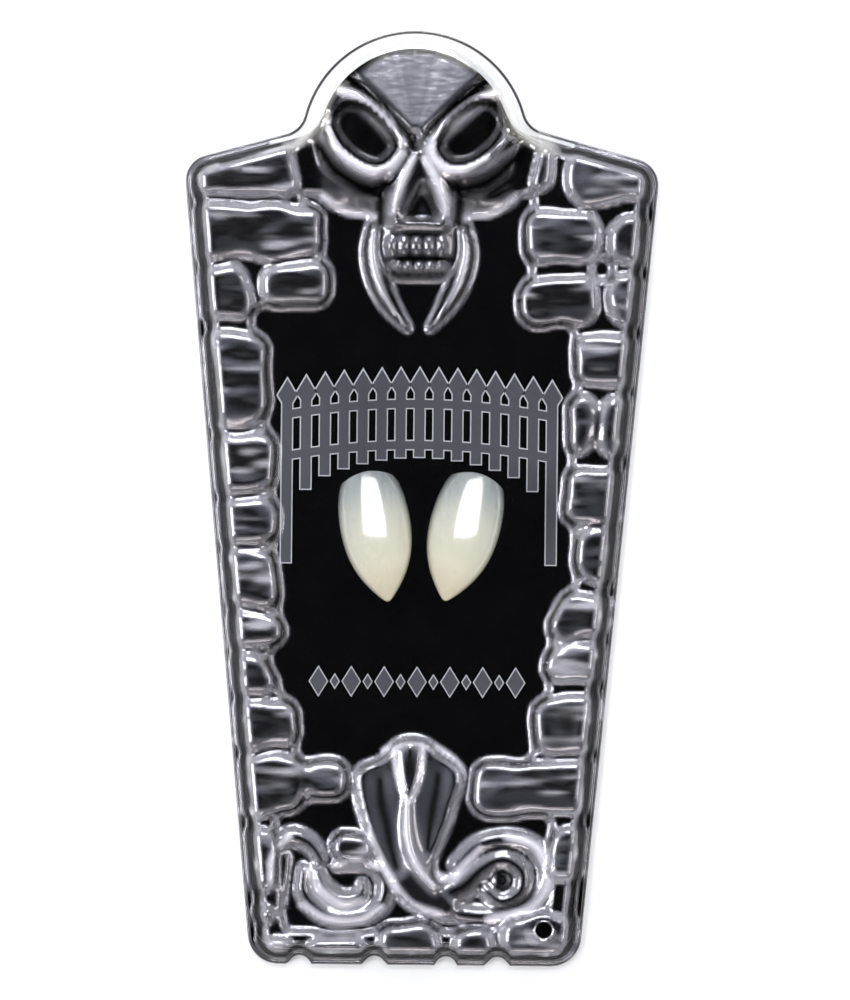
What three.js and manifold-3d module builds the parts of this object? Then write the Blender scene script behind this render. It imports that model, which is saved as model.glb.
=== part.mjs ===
// A pair of hollow fang caps on the card of a coffin-shaped clear display pack.
// Millimetres. The pack lies on its back: X runs across it, Y towards its domed head end, Z out of its front.
// The origin is on the resting surface, under the middle of the outline.

import * as THREE from "three";
import { mergeVertices } from "three/addons/utils/BufferGeometryUtils.js";
import Module from "manifold-3d";

const wasm = await Module();
wasm.setup();

// Outline of the pack
const PACK_LENGTH = 127; // foot edge to the top of the dome
const SHOULDER_WIDTH = 64.8; // across the two shoulder corners
const FOOT_WIDTH = 44.6; // across the foot edge
const SHOULDER_DROP = 18; // top of the dome down to the shoulder corners
const SHOULDER_SLOPE = 15.4; // degrees, from the shoulder corners up to the dome
const DOME_RADIUS = 15.5;
const DOME_OFFSET = -1; // from the middle line across to the centre of the dome
const DOME_FILLET = 3.4; // hollow corner between the dome and the shoulders
const SHOULDER_ROUND = 3.6;
const FOOT_ROUND = 4.2;

// Backing card
const CARD_THICKNESS = 0.7;
const CLEARANCE = 0.3; // between pieces that touch
const CARD_DOME_ROOM = 1.8; // the card stays this far inside the sheet at the dome
const CARD_ROUND = 6; // the card's own rounder corners

// Fang caps
const CAP_LENGTH = 17.8;
const CAP_WIDTH = 9.6;
const CAP_DEPTH = 7.3;
const CAP_WALL = 0.6;
const CAP_HOLLOW = 0.62; // share of the length that is hollow
const GUM_ARCH = 1.1; // how far the sides of the gum edge drop back from its middle
const CAP_SIDES = 16;

// Clear cover, one formed sheet
const SHEET = 0.6; // thickness of the sheet
const RIM_HEIGHT = CARD_THICKNESS + CLEARANCE + SHEET; // band that stands round the card
const RIM_STEP = 0.8; // ledge over the edge of the card
const WALL_LEAN = 8; // degrees that the side walls lean in
const WINDOW_HEIGHT = CARD_THICKNESS + 2 * CLEARANCE + CAP_DEPTH + SHEET; // flat window over the caps
const BED_RISE = 2.2; // mortar bed round the blocks, over the window
const BED_HEIGHT = WINDOW_HEIGHT + BED_RISE;
const BLOCK_RISE = 1.6; // stone blocks, over the bed
const BLOCK_HEIGHT = BED_HEIGHT + BLOCK_RISE;
const JOINT_DEPTH = 1; // how far the joints are sunk into the side walls
const BLOCK_ROUND = 1.1; // corners of a block, seen from the front
const BLOCK_BEVEL = 0.7; // edge between a block's sides and its front
const BLOCK_CORNER_ROOM = 0.22; // added behind a block, so that its hollow clears the cut corners
const BED_FOOT = 1.2; // bed standing out round a block, at the window
const RELIEF_SEAT = 0.2; // how far the skull and the snake are sunk in the window
const NOTCH_RADIUS = 1.6; // notches in the foot edge
const NOTCH_DEPTH = 1.2;
const VENT_RADIUS = 1.15; // vent hole in the corner block
const VENT_PLACE = { u: 0.79, v: -0.915 }; // shares of the half width and of half the length

// Skull on the dome
const SKULL_RISE = 6.8; // top of the forehead over the window
const SKULL_HEIGHT = WINDOW_HEIGHT + SKULL_RISE;
const SKULL_SHIFT = 0.035; // the face lies this share of the dome's radius right of its centre
const SOCKET_LENGTH = 11;
const SOCKET_WIDTH = 7.6;
const SOCKET_DEPTH = 4.2;
const SOCKET_SINK = 0.84; // widest part of a socket, below the top of the forehead
const SOCKET_TURN = 47; // degrees, outer ends raised
const NOSE_WIDTH = 4.7;
const NOSE_LENGTH = 5.2;
const NOSE_DEPTH = 4.5; // floor of the nose, below the top of the forehead
const SKULL_FANG_RADIUS = 1.6;
const TOOTH_PITCH = 1.9;
const TOOTH_SHARE = 0.86; // share of its pitch that a tooth takes
const TOOTH_RISE = 0.5; // how far the teeth stand proud of the jaw
const JAW_SHARE = 0.54; // height of the jaw as a share of the forehead's rise

// Snake at the foot
const HOOD_WIDTH = 14.6;
const HOOD_RISE = 3.4; // over the window
const HEAD_WIDTH = 5.4;
const HEAD_LENGTH = 9.2;
const HEAD_RISE = 5.6; // over the window
const HEAD_PLACE = { u: -0.005, v: -0.578 }; // shares of the half width and of half the length
const BODY_RADIUS = 2.1; // thickest part of the coiled body
const BODY_TALL = 1.5; // height of the body over half its width

const HALF_LENGTH = PACK_LENGTH / 2;
const SHOULDER_Y = HALF_LENGTH - SHOULDER_DROP;
const DOME_Y = HALF_LENGTH - DOME_RADIUS;
const radians = THREE.MathUtils.degToRad;

// Half the width between the side edges at a height y.
function halfWidth(y) {
  const share = (y + HALF_LENGTH) / (SHOULDER_Y + HALF_LENGTH);
  return THREE.MathUtils.lerp(FOOT_WIDTH / 2, SHOULDER_WIDTH / 2, share);
}

// A place on the pack: u is a share of the half width there, v a share of half the length.
function place(u, v, z = 0) {
  const y = v * HALF_LENGTH;
  return new THREE.Vector3(u * halfWidth(y), y, z);
}

// A place on the dome, in shares of its radius from its centre.
function domePlace(u, v, z = 0) {
  return new THREE.Vector3(DOME_OFFSET + u * DOME_RADIUS, DOME_Y + v * DOME_RADIUS, z);
}

// Points on an arc from one angle to another, ends included.
function arc(centre, radius, from, to, steps) {
  return Array.from({ length: steps + 1 }, (_, i) => {
    const angle = THREE.MathUtils.lerp(from, to, i / steps);
    return new THREE.Vector2(centre.x + radius * Math.cos(angle), centre.y + radius * Math.sin(angle));
  });
}

// The right side of the outline, from the foot edge up to the middle of the dome.
function rightSide(inset, foot, dome, shift, rounder) {
  const lean = Math.atan2((SHOULDER_WIDTH - FOOT_WIDTH) / 2, SHOULDER_Y + HALF_LENGTH);
  const slope = radians(SHOULDER_SLOPE);
  const outward = new THREE.Vector2(Math.cos(lean), -Math.sin(lean));
  const upward = new THREE.Vector2(Math.sin(slope), Math.cos(slope));
  const shoulder = new THREE.Vector2(SHOULDER_WIDTH / 2, SHOULDER_Y);

  // Centres of the two rounded corners, each tangent to both of its inset edges
  const footRadius = Math.max(FOOT_ROUND + rounder - foot, SHEET);
  const footY = -HALF_LENGTH + foot + footRadius;
  const footX = (outward.dot(shoulder) - inset - footRadius - outward.y * footY) / outward.x;
  const cornerRadius = Math.max(SHOULDER_ROUND + rounder - inset, SHEET);
  const cross = outward.x * upward.y - outward.y * upward.x;
  const side = outward.dot(shoulder) - inset - cornerRadius;
  const top = upward.dot(shoulder) - inset - cornerRadius;
  const corner = new THREE.Vector2(
    (side * upward.y - top * outward.y) / cross,
    (top * outward.x - side * upward.x) / cross,
  );

  // Hollow fillet, tangent to the shoulder edge and to the dome
  const middle = new THREE.Vector2(shift, DOME_Y);
  const fillet = DOME_FILLET + inset;
  const away = upward.dot(shoulder) - inset + fillet - upward.dot(middle);
  const reach = DOME_RADIUS - dome + fillet;
  const along = Math.sqrt(reach * reach - away * away);
  const hollow = new THREE.Vector2(
    middle.x + upward.x * away + upward.y * along,
    middle.y + upward.y * away - upward.x * along,
  );
  const turn = Math.atan2(hollow.y - middle.y, hollow.x - middle.x);

  return [
    ...arc(new THREE.Vector2(footX, footY), footRadius, -Math.PI / 2, -lean, 4),
    ...arc(corner, cornerRadius, -lean, Math.PI / 2 - slope, 4),
    ...arc(hollow, fillet, Math.PI * 1.5 - slope, turn + Math.PI, 3),
    ...arc(middle, DOME_RADIUS - dome, turn, Math.PI / 2, 10).slice(1),
  ];
}

// The whole outline, drawn in by an inset. The foot, the dome and the corners can have their own.
function outline(inset, foot = inset, dome = inset, rounder = 0) {
  const right = rightSide(inset, foot, dome, DOME_OFFSET, rounder);
  const left = rightSide(inset, foot, dome, -DOME_OFFSET, rounder)
    .map((p) => new THREE.Vector2(-p.x, p.y))
    .reverse();
  return [...right, ...left.slice(1)];
}

// A ring of flat points lifted to a height.
function lifted(points, z) {
  return points.map((p) => new THREE.Vector3(p.x, p.y, z));
}

// A closed skin through rings of equal count that run anticlockwise, seen from the last one.
function loft(rings) {
  const count = rings[0].length;
  const positions = rings.flat().flatMap((p) => [p.x, p.y, p.z]);
  const triangles = [];
  for (let r = 0; r + 1 < rings.length; r += 1) {
    for (let i = 0; i < count; i += 1) {
      const a = r * count + i;
      const b = r * count + ((i + 1) % count);
      triangles.push(a, b, b + count, a, b + count, a + count);
    }
  }
  const cap = (ring, start, up) => {
    const flat = flatten(ring);
    for (const [a, b, c] of THREE.ShapeUtils.triangulateShape(flat, [])) {
      triangles.push(start + a, start + (up ? b : c), start + (up ? c : b));
    }
  };
  cap(rings[0], 0, false);
  cap(rings.at(-1), (rings.length - 1) * count, true);
  const geometry = new THREE.BufferGeometry();
  geometry.setAttribute("position", new THREE.Float32BufferAttribute(positions, 3));
  geometry.setIndex(triangles);
  return geometry;
}

// A ring's points in its own plane, anticlockwise where the ring is.
function flatten(ring) {
  const centre = ring.reduce((sum, p) => sum.add(p), new THREE.Vector3()).divideScalar(ring.length);
  const first = ring[0].clone().sub(centre).normalize();
  const normal = new THREE.Vector3();
  ring.forEach((p, i) => {
    const next = ring[(i + 1) % ring.length].clone().sub(centre);
    normal.add(p.clone().sub(centre).cross(next));
  });
  const second = normal.normalize().clone().cross(first);
  return ring.map((p) => {
    const arm = p.clone().sub(centre);
    return new THREE.Vector2(arm.dot(first), arm.dot(second));
  });
}

// A closed geometry as a solid that can be joined and cut.
function solid(geometry) {
  const bare = geometry.clone();
  bare.deleteAttribute("normal");
  bare.deleteAttribute("uv");
  const merged = mergeVertices(bare, 1e-4);
  const corners = Array.from(merged.index.array);
  const faces = [];
  for (let i = 0; i < corners.length; i += 3) {
    const [a, b, c] = corners.slice(i, i + 3);
    if (a !== b && b !== c && c !== a) faces.push(a, b, c);
  }
  return new wasm.Manifold(
    new wasm.Mesh({
      numProp: 3,
      vertProperties: merged.attributes.position.array,
      triVerts: new Uint32Array(faces),
    }),
  );
}

function joined(solids) {
  return solids.reduce((whole, piece) => whole.add(piece));
}

// The leaning walls of the pack up to a height, with a ledge above the rim and a bevel at the top.
function walls(top, joint, inset) {
  const low = inset > 0 ? -SHEET : 0;
  const ledge = RIM_HEIGHT - inset;
  const high = top - inset;
  const foot = RIM_STEP + joint + inset;
  const lean = Math.tan(radians(WALL_LEAN));
  const bevelled = foot + (high - BLOCK_BEVEL - ledge) * lean;
  return solid(
    loft([
      lifted(outline(inset), low),
      lifted(outline(inset), ledge),
      lifted(outline(foot), ledge),
      lifted(outline(bevelled), high - BLOCK_BEVEL),
      lifted(outline(bevelled + BLOCK_BEVEL), high),
    ]),
  );
}

// Stone blocks: edges as shares of the half width and of half the length. An edge at 1.1 runs out
// through the side wall. Lean moves the top of the inner edge, turn is in degrees.
// These ones border the left of the window, from the head down.
const LEFT_BLOCKS = [
  { left: -1.1, right: -0.41, low: 0.507, high: 0.622, lean: -0.04, turn: 0 },
  { left: -0.7, right: -0.338, low: 0.407, high: 0.489, lean: 0, turn: -2 },
  { left: -1.1, right: -0.695, low: 0.148, high: 0.345, lean: 0.01, turn: 0 },
  { left: -1.1, right: -0.678, low: 0.012, high: 0.132, lean: 0, turn: 0 },
  { left: -1.1, right: -0.683, low: -0.095, high: -0.006, lean: 0, turn: 2 },
  { left: -1.1, right: -0.69, low: -0.226, high: -0.11, lean: 0, turn: 0 },
  { left: -1.1, right: -0.68, low: -0.318, high: -0.243, lean: 0, turn: 3 },
  { left: -1.1, right: -0.745, low: -0.418, high: -0.334, lean: -0.08, turn: 0 },
  { left: -1.1, right: -0.635, low: -0.53, high: -0.434, lean: -0.04, turn: 0 },
  { left: -1.1, right: -0.62, low: -0.68, high: -0.548, lean: 0, turn: 0 },
  { left: -1.1, right: -0.77, low: -0.84, high: -0.7, lean: 0, turn: 0 },
  { left: -1.1, right: -0.8, low: -0.915, high: -0.86, lean: 0, turn: 0 },
];

// These ones border the right of the window, from the head down.
const RIGHT_BLOCKS = [
  { left: 0.452, right: 0.762, low: 0.505, high: 0.616, lean: 0, turn: 0 },
  { left: 0.268, right: 0.412, low: 0.376, high: 0.474, lean: 0, turn: 0 },
  { left: 0.698, right: 1.1, low: 0.244, high: 0.352, lean: 0, turn: 2 },
  { left: 0.695, right: 0.811, low: 0.093, high: 0.227, lean: 0, turn: 0 },
  { left: 0.702, right: 1.1, low: -0.045, high: 0.075, lean: 0, turn: 0 },
  { left: 0.782, right: 1.1, low: -0.178, high: -0.063, lean: 0, turn: 0 },
  { left: 0.678, right: 1.1, low: -0.29, high: -0.198, lean: 0, turn: 0 },
  { left: 0.668, right: 1.1, low: -0.392, high: -0.31, lean: 0, turn: -8 },
  { left: 0.63, right: 1.1, low: -0.538, high: -0.412, lean: 0, turn: 0 },
  { left: 0.312, right: 1.1, low: -0.672, high: -0.557, lean: 0, turn: 0 },
  { left: 0.765, right: 1.1, low: -0.812, high: -0.7, lean: 0, turn: 0 },
  { left: 0.528, right: 1.1, low: -1.1, high: -0.886, lean: 0, turn: 0 },
];

// These ones lie between the window's border and the side walls.
const OUTER_BLOCKS = [
  { left: -1.1, right: -0.505, low: 0.642, high: 0.85, lean: 0, turn: 0 },
  { left: -1.1, right: -0.745, low: 0.37, high: 0.492, lean: -0.07, turn: 0 },
  { left: 0.435, right: 0.55, low: 0.648, high: 0.85, lean: 0, turn: 0 },
  { left: 0.595, right: 1.1, low: 0.632, high: 0.85, lean: -0.04, turn: 0 },
  { left: 0.803, right: 1.1, low: 0.495, high: 0.6, lean: 0, turn: 0 },
  { left: 0.443, right: 0.775, low: 0.372, high: 0.478, lean: 0, turn: 0 },
  { left: 0.814, right: 1.1, low: 0.37, high: 0.468, lean: 0, turn: 0 },
  { left: 0.84, right: 1.1, low: 0.093, high: 0.227, lean: 0, turn: 0 },
];

// These ones stand alone beside the snake.
const LONE_BLOCKS = [
  { left: -0.575, right: -0.355, low: -0.64, high: -0.556, lean: 0, turn: 0 },
  { left: -0.475, right: -0.235, low: -0.78, high: -0.712, lean: 0, turn: -8 },
];

// The row of blocks along the foot edge, left of the corner block. The edge has a notch at each joint.
const FOOT_BLOCKS = [
  { left: -1.1, right: -0.725, low: -1.1, high: -0.932, lean: 0, turn: 0 },
  { left: -0.665, right: -0.28, low: -1.1, high: -0.932, lean: 0, turn: 0 },
  { left: -0.215, right: 0.15, low: -1.1, high: -0.9, lean: 0, turn: 0 },
  { left: 0.222, right: 0.457, low: -1.1, high: -0.908, lean: 0, turn: 0 },
];

// The four corners of a block, anticlockwise from its low left one, grown outwards.
function blockCorners(block, grow) {
  const half = block.lean / 2;
  const [leftLean, rightLean] = block.right > 0 ? [half, 0] : [0, half];
  return [
    place(block.left - leftLean, block.low).add(new THREE.Vector3(-grow, -grow)),
    place(block.right - rightLean, block.low).add(new THREE.Vector3(grow, -grow)),
    place(block.right + rightLean, block.high).add(new THREE.Vector3(grow, grow)),
    place(block.left + leftLean, block.high).add(new THREE.Vector3(-grow, grow)),
  ];
}

// Outline of a block, grown outwards, with its corners cut off by the given length.
function blockRing(block, grow, cut, z) {
  const corners = blockCorners(block, grow);
  const middle = corners.reduce((sum, p) => sum.add(p), new THREE.Vector3()).divideScalar(4);
  const shortest = Math.min(...corners.map((p, i) => p.distanceTo(corners[(i + 1) % 4])));
  const length = Math.min(cut, shortest * 0.4);
  const ring = corners.flatMap((corner, i) => {
    const before = corners[(i + 3) % 4].clone().sub(corner).setLength(length);
    const after = corners[(i + 1) % 4].clone().sub(corner).setLength(length);
    return length > 0 ? [corner.clone().add(before), corner.clone().add(after)] : [corner];
  });
  const axis = new THREE.Vector3(0, 0, 1);
  return ring.map((p) => p.sub(middle).applyAxisAngle(axis, radians(block.turn)).add(middle).setZ(z));
}

// Outside of a block: it stands from the ledge to its front, with cut corners and a bevel.
function blockSolid(block) {
  const cut = BLOCK_ROUND;
  return solid(
    loft([
      blockRing(block, 0, cut, RIM_HEIGHT),
      blockRing(block, 0, cut, BLOCK_HEIGHT - BLOCK_BEVEL),
      blockRing(block, -BLOCK_BEVEL, cut, BLOCK_HEIGHT),
    ]),
  );
}

// Hollow behind a block. Its square corners stay a sheet's thickness inside the cut ones.
function blockHollow(block) {
  const inset = SHEET + BLOCK_CORNER_ROOM;
  return solid(
    loft([
      blockRing(block, -inset, 0, RIM_HEIGHT - SHEET),
      blockRing(block, -inset, 0, BLOCK_HEIGHT - SHEET),
    ]),
  );
}

// One side of the window from the head down. The bed round each block reaches a margin past it,
// and between two blocks the step lies at the edge of the one that stands out more.
function windowSide(blocks, side, margin) {
  const [lowCorner, highCorner] = side < 0 ? [1, 2] : [0, 3];
  const edges = blocks.map((block) => {
    const corners = blockCorners(block, margin);
    return { low: corners[lowCorner], high: corners[highCorner] };
  });
  return edges.flatMap((edge, i) => {
    const above = edges[i - 1];
    const below = edges[i + 1];
    const standsOut = (a, b) => -side * a.x > -side * b.x;
    const top = above && standsOut(above.low, edge.high) ? above.low.y : edge.high.y;
    const bottom = below && standsOut(below.high, edge.low) ? below.high.y : edge.low.y;
    return [new THREE.Vector2(edge.high.x, top), new THREE.Vector2(edge.low.x, bottom)];
  });
}

// Outline of the window at a margin from the blocks round it.
function windowRing(margin, z) {
  const left = windowSide(LEFT_BLOCKS, -1, margin);
  const right = windowSide(RIGHT_BLOCKS, 1, margin).reverse();
  const foot = place(0, FOOT_BLOCKS[0].high).y + margin;
  left.at(-1).y = foot;
  right[0].y = foot;
  return lifted([...left, ...right], z);
}

// The window, sunk below the bed. Its sides lean out towards the front.
function windowPit(inset) {
  const floor = windowRing(BED_FOOT - inset, WINDOW_HEIGHT - inset);
  const top = windowRing(BED_FOOT / 2 - inset, BED_HEIGHT + SHEET);
  return solid(loft([floor, top]));
}

// The bed round a block that stands alone.
function loneBed(block, inset) {
  const cut = BLOCK_ROUND;
  const rings = [
    blockRing(block, BED_FOOT - inset, cut, RIM_HEIGHT),
    blockRing(block, BED_FOOT - inset, cut, WINDOW_HEIGHT - inset),
    blockRing(block, BED_FOOT / 2 - inset, cut, BED_HEIGHT - inset),
  ];
  return solid(loft(rings));
}

// A rounded lump that rises out of the window, with its own half sizes.
function lump(centre, halfX, halfY, rise, inset) {
  const [around, down] = inset > 0 ? [10, 6] : [13, 8];
  const geometry = new THREE.SphereGeometry(1, around, down);
  geometry.rotateX(Math.PI / 2);
  geometry.scale(halfX - inset, halfY - inset, rise + RELIEF_SEAT - inset);
  geometry.translate(centre.x, centre.y, WINDOW_HEIGHT - RELIEF_SEAT);
  return solid(geometry);
}

// A body along a curve, its half width running through the given values, with a height over half
// width of its own.
function tapered(points, widths, tall, inset, steps) {
  const curve = new THREE.CatmullRomCurve3(points);
  const sides = inset > 0 ? 6 : 8;
  const last = widths.length - 1;
  const rings = Array.from({ length: steps + 1 }, (_, i) => {
    const t = i / steps;
    const at = curve.getPoint(t);
    const ahead = curve.getTangent(t);
    const across = new THREE.Vector3(ahead.y, -ahead.x, 0).normalize();
    const up = ahead.clone().cross(across).normalize();
    const slot = Math.min(Math.floor(t * last), last - 1);
    const width = THREE.MathUtils.lerp(widths[slot], widths[slot + 1], t * last - slot);
    const halfWidth = Math.max(width - inset, SHEET / 4);
    const halfHeight = Math.max(width * tall - inset, SHEET / 4);
    return Array.from({ length: sides }, (_, k) => {
      const angle = (k / sides) * 2 * Math.PI;
      const arm = across.clone().multiplyScalar(Math.cos(angle) * halfWidth);
      return at.clone().add(arm.addScaledVector(up, Math.sin(angle) * halfHeight));
    });
  });
  return solid(loft(rings));
}

// Lumps of the skull: places and half sizes as shares of the dome's radius, rise as a share of
// the forehead's rise over the window.
const SKULL_LUMPS = [
  { name: "cranium", x: 0, y: -0.02, wide: 0.915, long: 0.865, rise: 1 },
  { name: "face", x: 0.04, y: -0.48, wide: 0.57, long: 0.55, rise: 0.76 },
  { name: "left cheek", x: -0.6, y: -0.28, wide: 0.36, long: 0.36, rise: 0.66 },
  { name: "right cheek", x: 0.67, y: -0.28, wide: 0.36, long: 0.36, rise: 0.66 },
  { name: "jaw", x: 0.03, y: -0.885, wide: 0.45, long: 0.315, rise: 0.6 },
];

// Ridges and fangs of the skull, for its right side: places and half widths as shares of the
// dome's radius, z as a share of the forehead's rise.
const SKULL_BROW = [
  { x: 0.1, y: 0, z: 0.84, wide: 0.07 },
  { x: 0.33, y: 0.235, z: 0.86, wide: 0.085 },
  { x: 0.56, y: 0.45, z: 0.62, wide: 0.07 },
];
const SKULL_FANG = [
  { x: 0.36, y: -0.86, z: 0.1, wide: 1 },
  { x: 0.33, y: -1.13, z: 0, wide: 0.92 },
  { x: 0.24, y: -1.37, z: 0, wide: 0.66 },
  { x: 0.06, y: -1.63, z: 0, wide: 0.15 },
];

function skullSolids(inset) {
  const lumps = SKULL_LUMPS.map((row) =>
    lump(
      domePlace(row.x, row.y),
      row.wide * DOME_RADIUS,
      row.long * DOME_RADIUS,
      row.rise * SKULL_RISE,
      inset,
    ),
  );
  const base = WINDOW_HEIGHT - RELIEF_SEAT;
  const route = (rows, side) =>
    rows.map((row) => domePlace(SKULL_SHIFT + side * row.x, row.y, base + row.z * SKULL_RISE));
  const pair = [-1, 1].flatMap((side) => {
    const brow = SKULL_BROW.map((row) => row.wide * DOME_RADIUS);
    const fang = SKULL_FANG.map((row) => row.wide * SKULL_FANG_RADIUS);
    return [
      tapered(route(SKULL_BROW, side), brow, 1, inset, 4),
      tapered(route(SKULL_FANG, side), fang, BODY_TALL, inset, 6),
    ];
  });
  return [...lumps, ...pair];
}

// Two rows of small teeth that stand proud of the jaw.
function toothSolids() {
  const rows = [
    { count: 4, y: -0.89, length: 0.23, pitch: TOOTH_PITCH },
    { count: 4, y: -1.1, length: 0.13, pitch: TOOTH_PITCH * 0.72 },
  ];
  const top = WINDOW_HEIGHT + JAW_SHARE * SKULL_RISE + TOOTH_RISE;
  const tall = TOOTH_RISE * 4;
  return rows.flatMap((row) =>
    Array.from({ length: row.count }, (_, i) => {
      const box = new THREE.BoxGeometry(row.pitch * TOOTH_SHARE, row.length * DOME_RADIUS, tall);
      const at = domePlace(SKULL_SHIFT, row.y);
      box.translate(at.x + (i - (row.count - 1) / 2) * row.pitch, at.y, top - tall / 2);
      return solid(box);
    }),
  );
}

// Eye sockets and nose, sunk into the skull.
function skullPits(grow) {
  const sockets = [-1, 1].map((side) => {
    const geometry = new THREE.SphereGeometry(1, 12, 8);
    geometry.scale(SOCKET_LENGTH / 2 + grow, SOCKET_WIDTH / 2 + grow, SOCKET_DEPTH + grow);
    geometry.rotateZ(side * radians(SOCKET_TURN));
    const at = domePlace(SKULL_SHIFT + side * 0.45, 0.08);
    geometry.translate(at.x, at.y, SKULL_HEIGHT - SOCKET_SINK);
    return solid(geometry);
  });
  const nose = new THREE.CylinderGeometry(1, 1, NOSE_DEPTH * 2, 3);
  nose.rotateX(Math.PI / 2);
  nose.rotateZ(Math.PI);
  nose.scale(NOSE_WIDTH / Math.sqrt(3) + 2 * grow, NOSE_LENGTH / 1.5 + 2 * grow, 1);
  const at = domePlace(SKULL_SHIFT * 2, -0.56);
  nose.translate(at.x, at.y, SKULL_HEIGHT - grow);
  return [...sockets, solid(nose)];
}

// The snake: u and v in pack shares, wide as a share of half the hood's width or, in the coils, of
// the body's radius.
const HOOD = [
  { u: -0.02, v: -0.53, wide: 0.2 },
  { u: -0.03, v: -0.56, wide: 0.74 },
  { u: -0.033, v: -0.6, wide: 1 },
  { u: -0.03, v: -0.66, wide: 0.9 },
  { u: -0.028, v: -0.73, wide: 0.66 },
  { u: -0.02, v: -0.8, wide: 0.46 },
  { u: 0.03, v: -0.86, wide: 0.33 },
];
const TAIL = [
  { u: -0.817, v: -0.898, wide: 0.75 },
  { u: -0.829, v: -0.835, wide: 0.8 },
  { u: -0.769, v: -0.769, wide: 0.85 },
  { u: -0.663, v: -0.737, wide: 0.9 },
  { u: -0.583, v: -0.765, wide: 0.85 },
  { u: -0.547, v: -0.811, wide: 0.75 },
  { u: -0.44, v: -0.849, wide: 0.65 },
  { u: -0.328, v: -0.844, wide: 0.55 },
  { u: -0.325, v: -0.813, wide: 0.5 },
  { u: -0.41, v: -0.806, wide: 0.4 },
];
const LEFT_LOOP = [
  { u: -0.76, v: -0.888, wide: 0.7 },
  { u: -0.57, v: -0.892, wide: 0.75 },
  { u: -0.35, v: -0.892, wide: 0.8 },
  { u: -0.2, v: -0.872, wide: 0.8 },
  { u: -0.165, v: -0.824, wide: 0.75 },
  { u: -0.246, v: -0.786, wide: 0.7 },
  { u: -0.382, v: -0.781, wide: 0.6 },
  { u: -0.468, v: -0.797, wide: 0.5 },
];

const RIGHT_LOOP = [
  { u: -0.02, v: -0.81, wide: 0.9 },
  { u: 0.04, v: -0.865, wide: 0.95 },
  { u: 0.22, v: -0.895, wide: 0.9 },
  { u: 0.48, v: -0.898, wide: 0.8 },
  { u: 0.69, v: -0.865, wide: 0.8 },
  { u: 0.745, v: -0.8, wide: 0.75 },
  { u: 0.67, v: -0.738, wide: 0.7 },
  { u: 0.46, v: -0.717, wide: 0.65 },
  { u: 0.25, v: -0.745, wide: 0.6 },
];
const INNER_LOOP = [
  { u: 0.12, v: -0.845, wide: 0.85 },
  { u: 0.26, v: -0.79, wide: 0.8 },
  { u: 0.42, v: -0.757, wide: 0.75 },
  { u: 0.58, v: -0.772, wide: 0.7 },
  { u: 0.63, v: -0.812, wide: 0.7 },
  { u: 0.56, v: -0.85, wide: 0.65 },
  { u: 0.43, v: -0.85, wide: 0.6 },
  { u: 0.38, v: -0.81, wide: 0.55 },
  { u: 0.46, v: -0.785, wide: 0.4 },
];

// A stretch of the snake through the rows of a table.
function stretch(rows, size, tall, inset, steps) {
  const points = rows.map((row) => place(row.u, row.v, WINDOW_HEIGHT - RELIEF_SEAT));
  const widths = rows.map((row) => row.wide * size);
  return tapered(points, widths, tall, inset, steps);
}

function snakeSolids(inset) {
  const hoodTall = HOOD_RISE / (HOOD_WIDTH / 2);
  return [
    stretch(HOOD, HOOD_WIDTH / 2, hoodTall, inset, 9),
    lump(place(HEAD_PLACE.u, HEAD_PLACE.v), HEAD_WIDTH / 2, HEAD_LENGTH / 2, HEAD_RISE, inset),
    stretch(RIGHT_LOOP, BODY_RADIUS, BODY_TALL, inset, 13),
    stretch(INNER_LOOP, BODY_RADIUS, BODY_TALL, inset, 12),
    stretch(TAIL, BODY_RADIUS, BODY_TALL, inset, 13),
    stretch(LEFT_LOOP, BODY_RADIUS, BODY_TALL, inset, 10),
  ];
}

// Notches in the foot edge, one at each joint of the foot row.
function notchSolids(grow) {
  const row = [...FOOT_BLOCKS, RIGHT_BLOCKS.at(-1)];
  return row.slice(1).map((block, i) => {
    const at = place((row[i].right + block.left) / 2, -1);
    const notch = new THREE.CylinderGeometry(NOTCH_RADIUS + grow, NOTCH_RADIUS + grow, BED_HEIGHT * 3, 12);
    notch.rotateX(Math.PI / 2);
    notch.translate(at.x, at.y + NOTCH_DEPTH - NOTCH_RADIUS, 0);
    return solid(notch);
  });
}

// The whole form of the cover, drawn in by an inset: 0 for the outside of the sheet.
function form(inset) {
  const blocks = [...LEFT_BLOCKS, ...RIGHT_BLOCKS, ...OUTER_BLOCKS, ...LONE_BLOCKS, ...FOOT_BLOCKS];
  const stones = joined(blocks.map(inset > 0 ? blockHollow : blockSolid));
  const radius = DOME_RADIUS - inset;
  const dome = new THREE.CylinderGeometry(radius, radius, BED_HEIGHT * 2, 20);
  dome.rotateX(Math.PI / 2);
  dome.translate(DOME_OFFSET, DOME_Y, 0);
  const bed = walls(BED_HEIGHT, JOINT_DEPTH, inset).subtract(windowPit(inset));
  const whole = joined([
    bed,
    ...LONE_BLOCKS.map((block) => loneBed(block, inset)),
    stones.intersect(walls(BLOCK_HEIGHT, 0, inset)),
    walls(BED_HEIGHT, 0, inset).intersect(solid(dome)),
    ...skullSolids(inset),
    ...snakeSolids(inset),
  ]);
  return whole.subtract(joined([...skullPits(inset), ...notchSolids(inset)]));
}

function coverSolid() {
  const vent = new THREE.CylinderGeometry(VENT_RADIUS, VENT_RADIUS, SHEET * 6, 12);
  vent.rotateX(Math.PI / 2);
  const at = place(VENT_PLACE.u, VENT_PLACE.v);
  vent.translate(at.x, at.y, BLOCK_HEIGHT - SHEET);
  return form(0).add(joined(toothSolids())).subtract(form(SHEET)).subtract(solid(vent));
}

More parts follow.
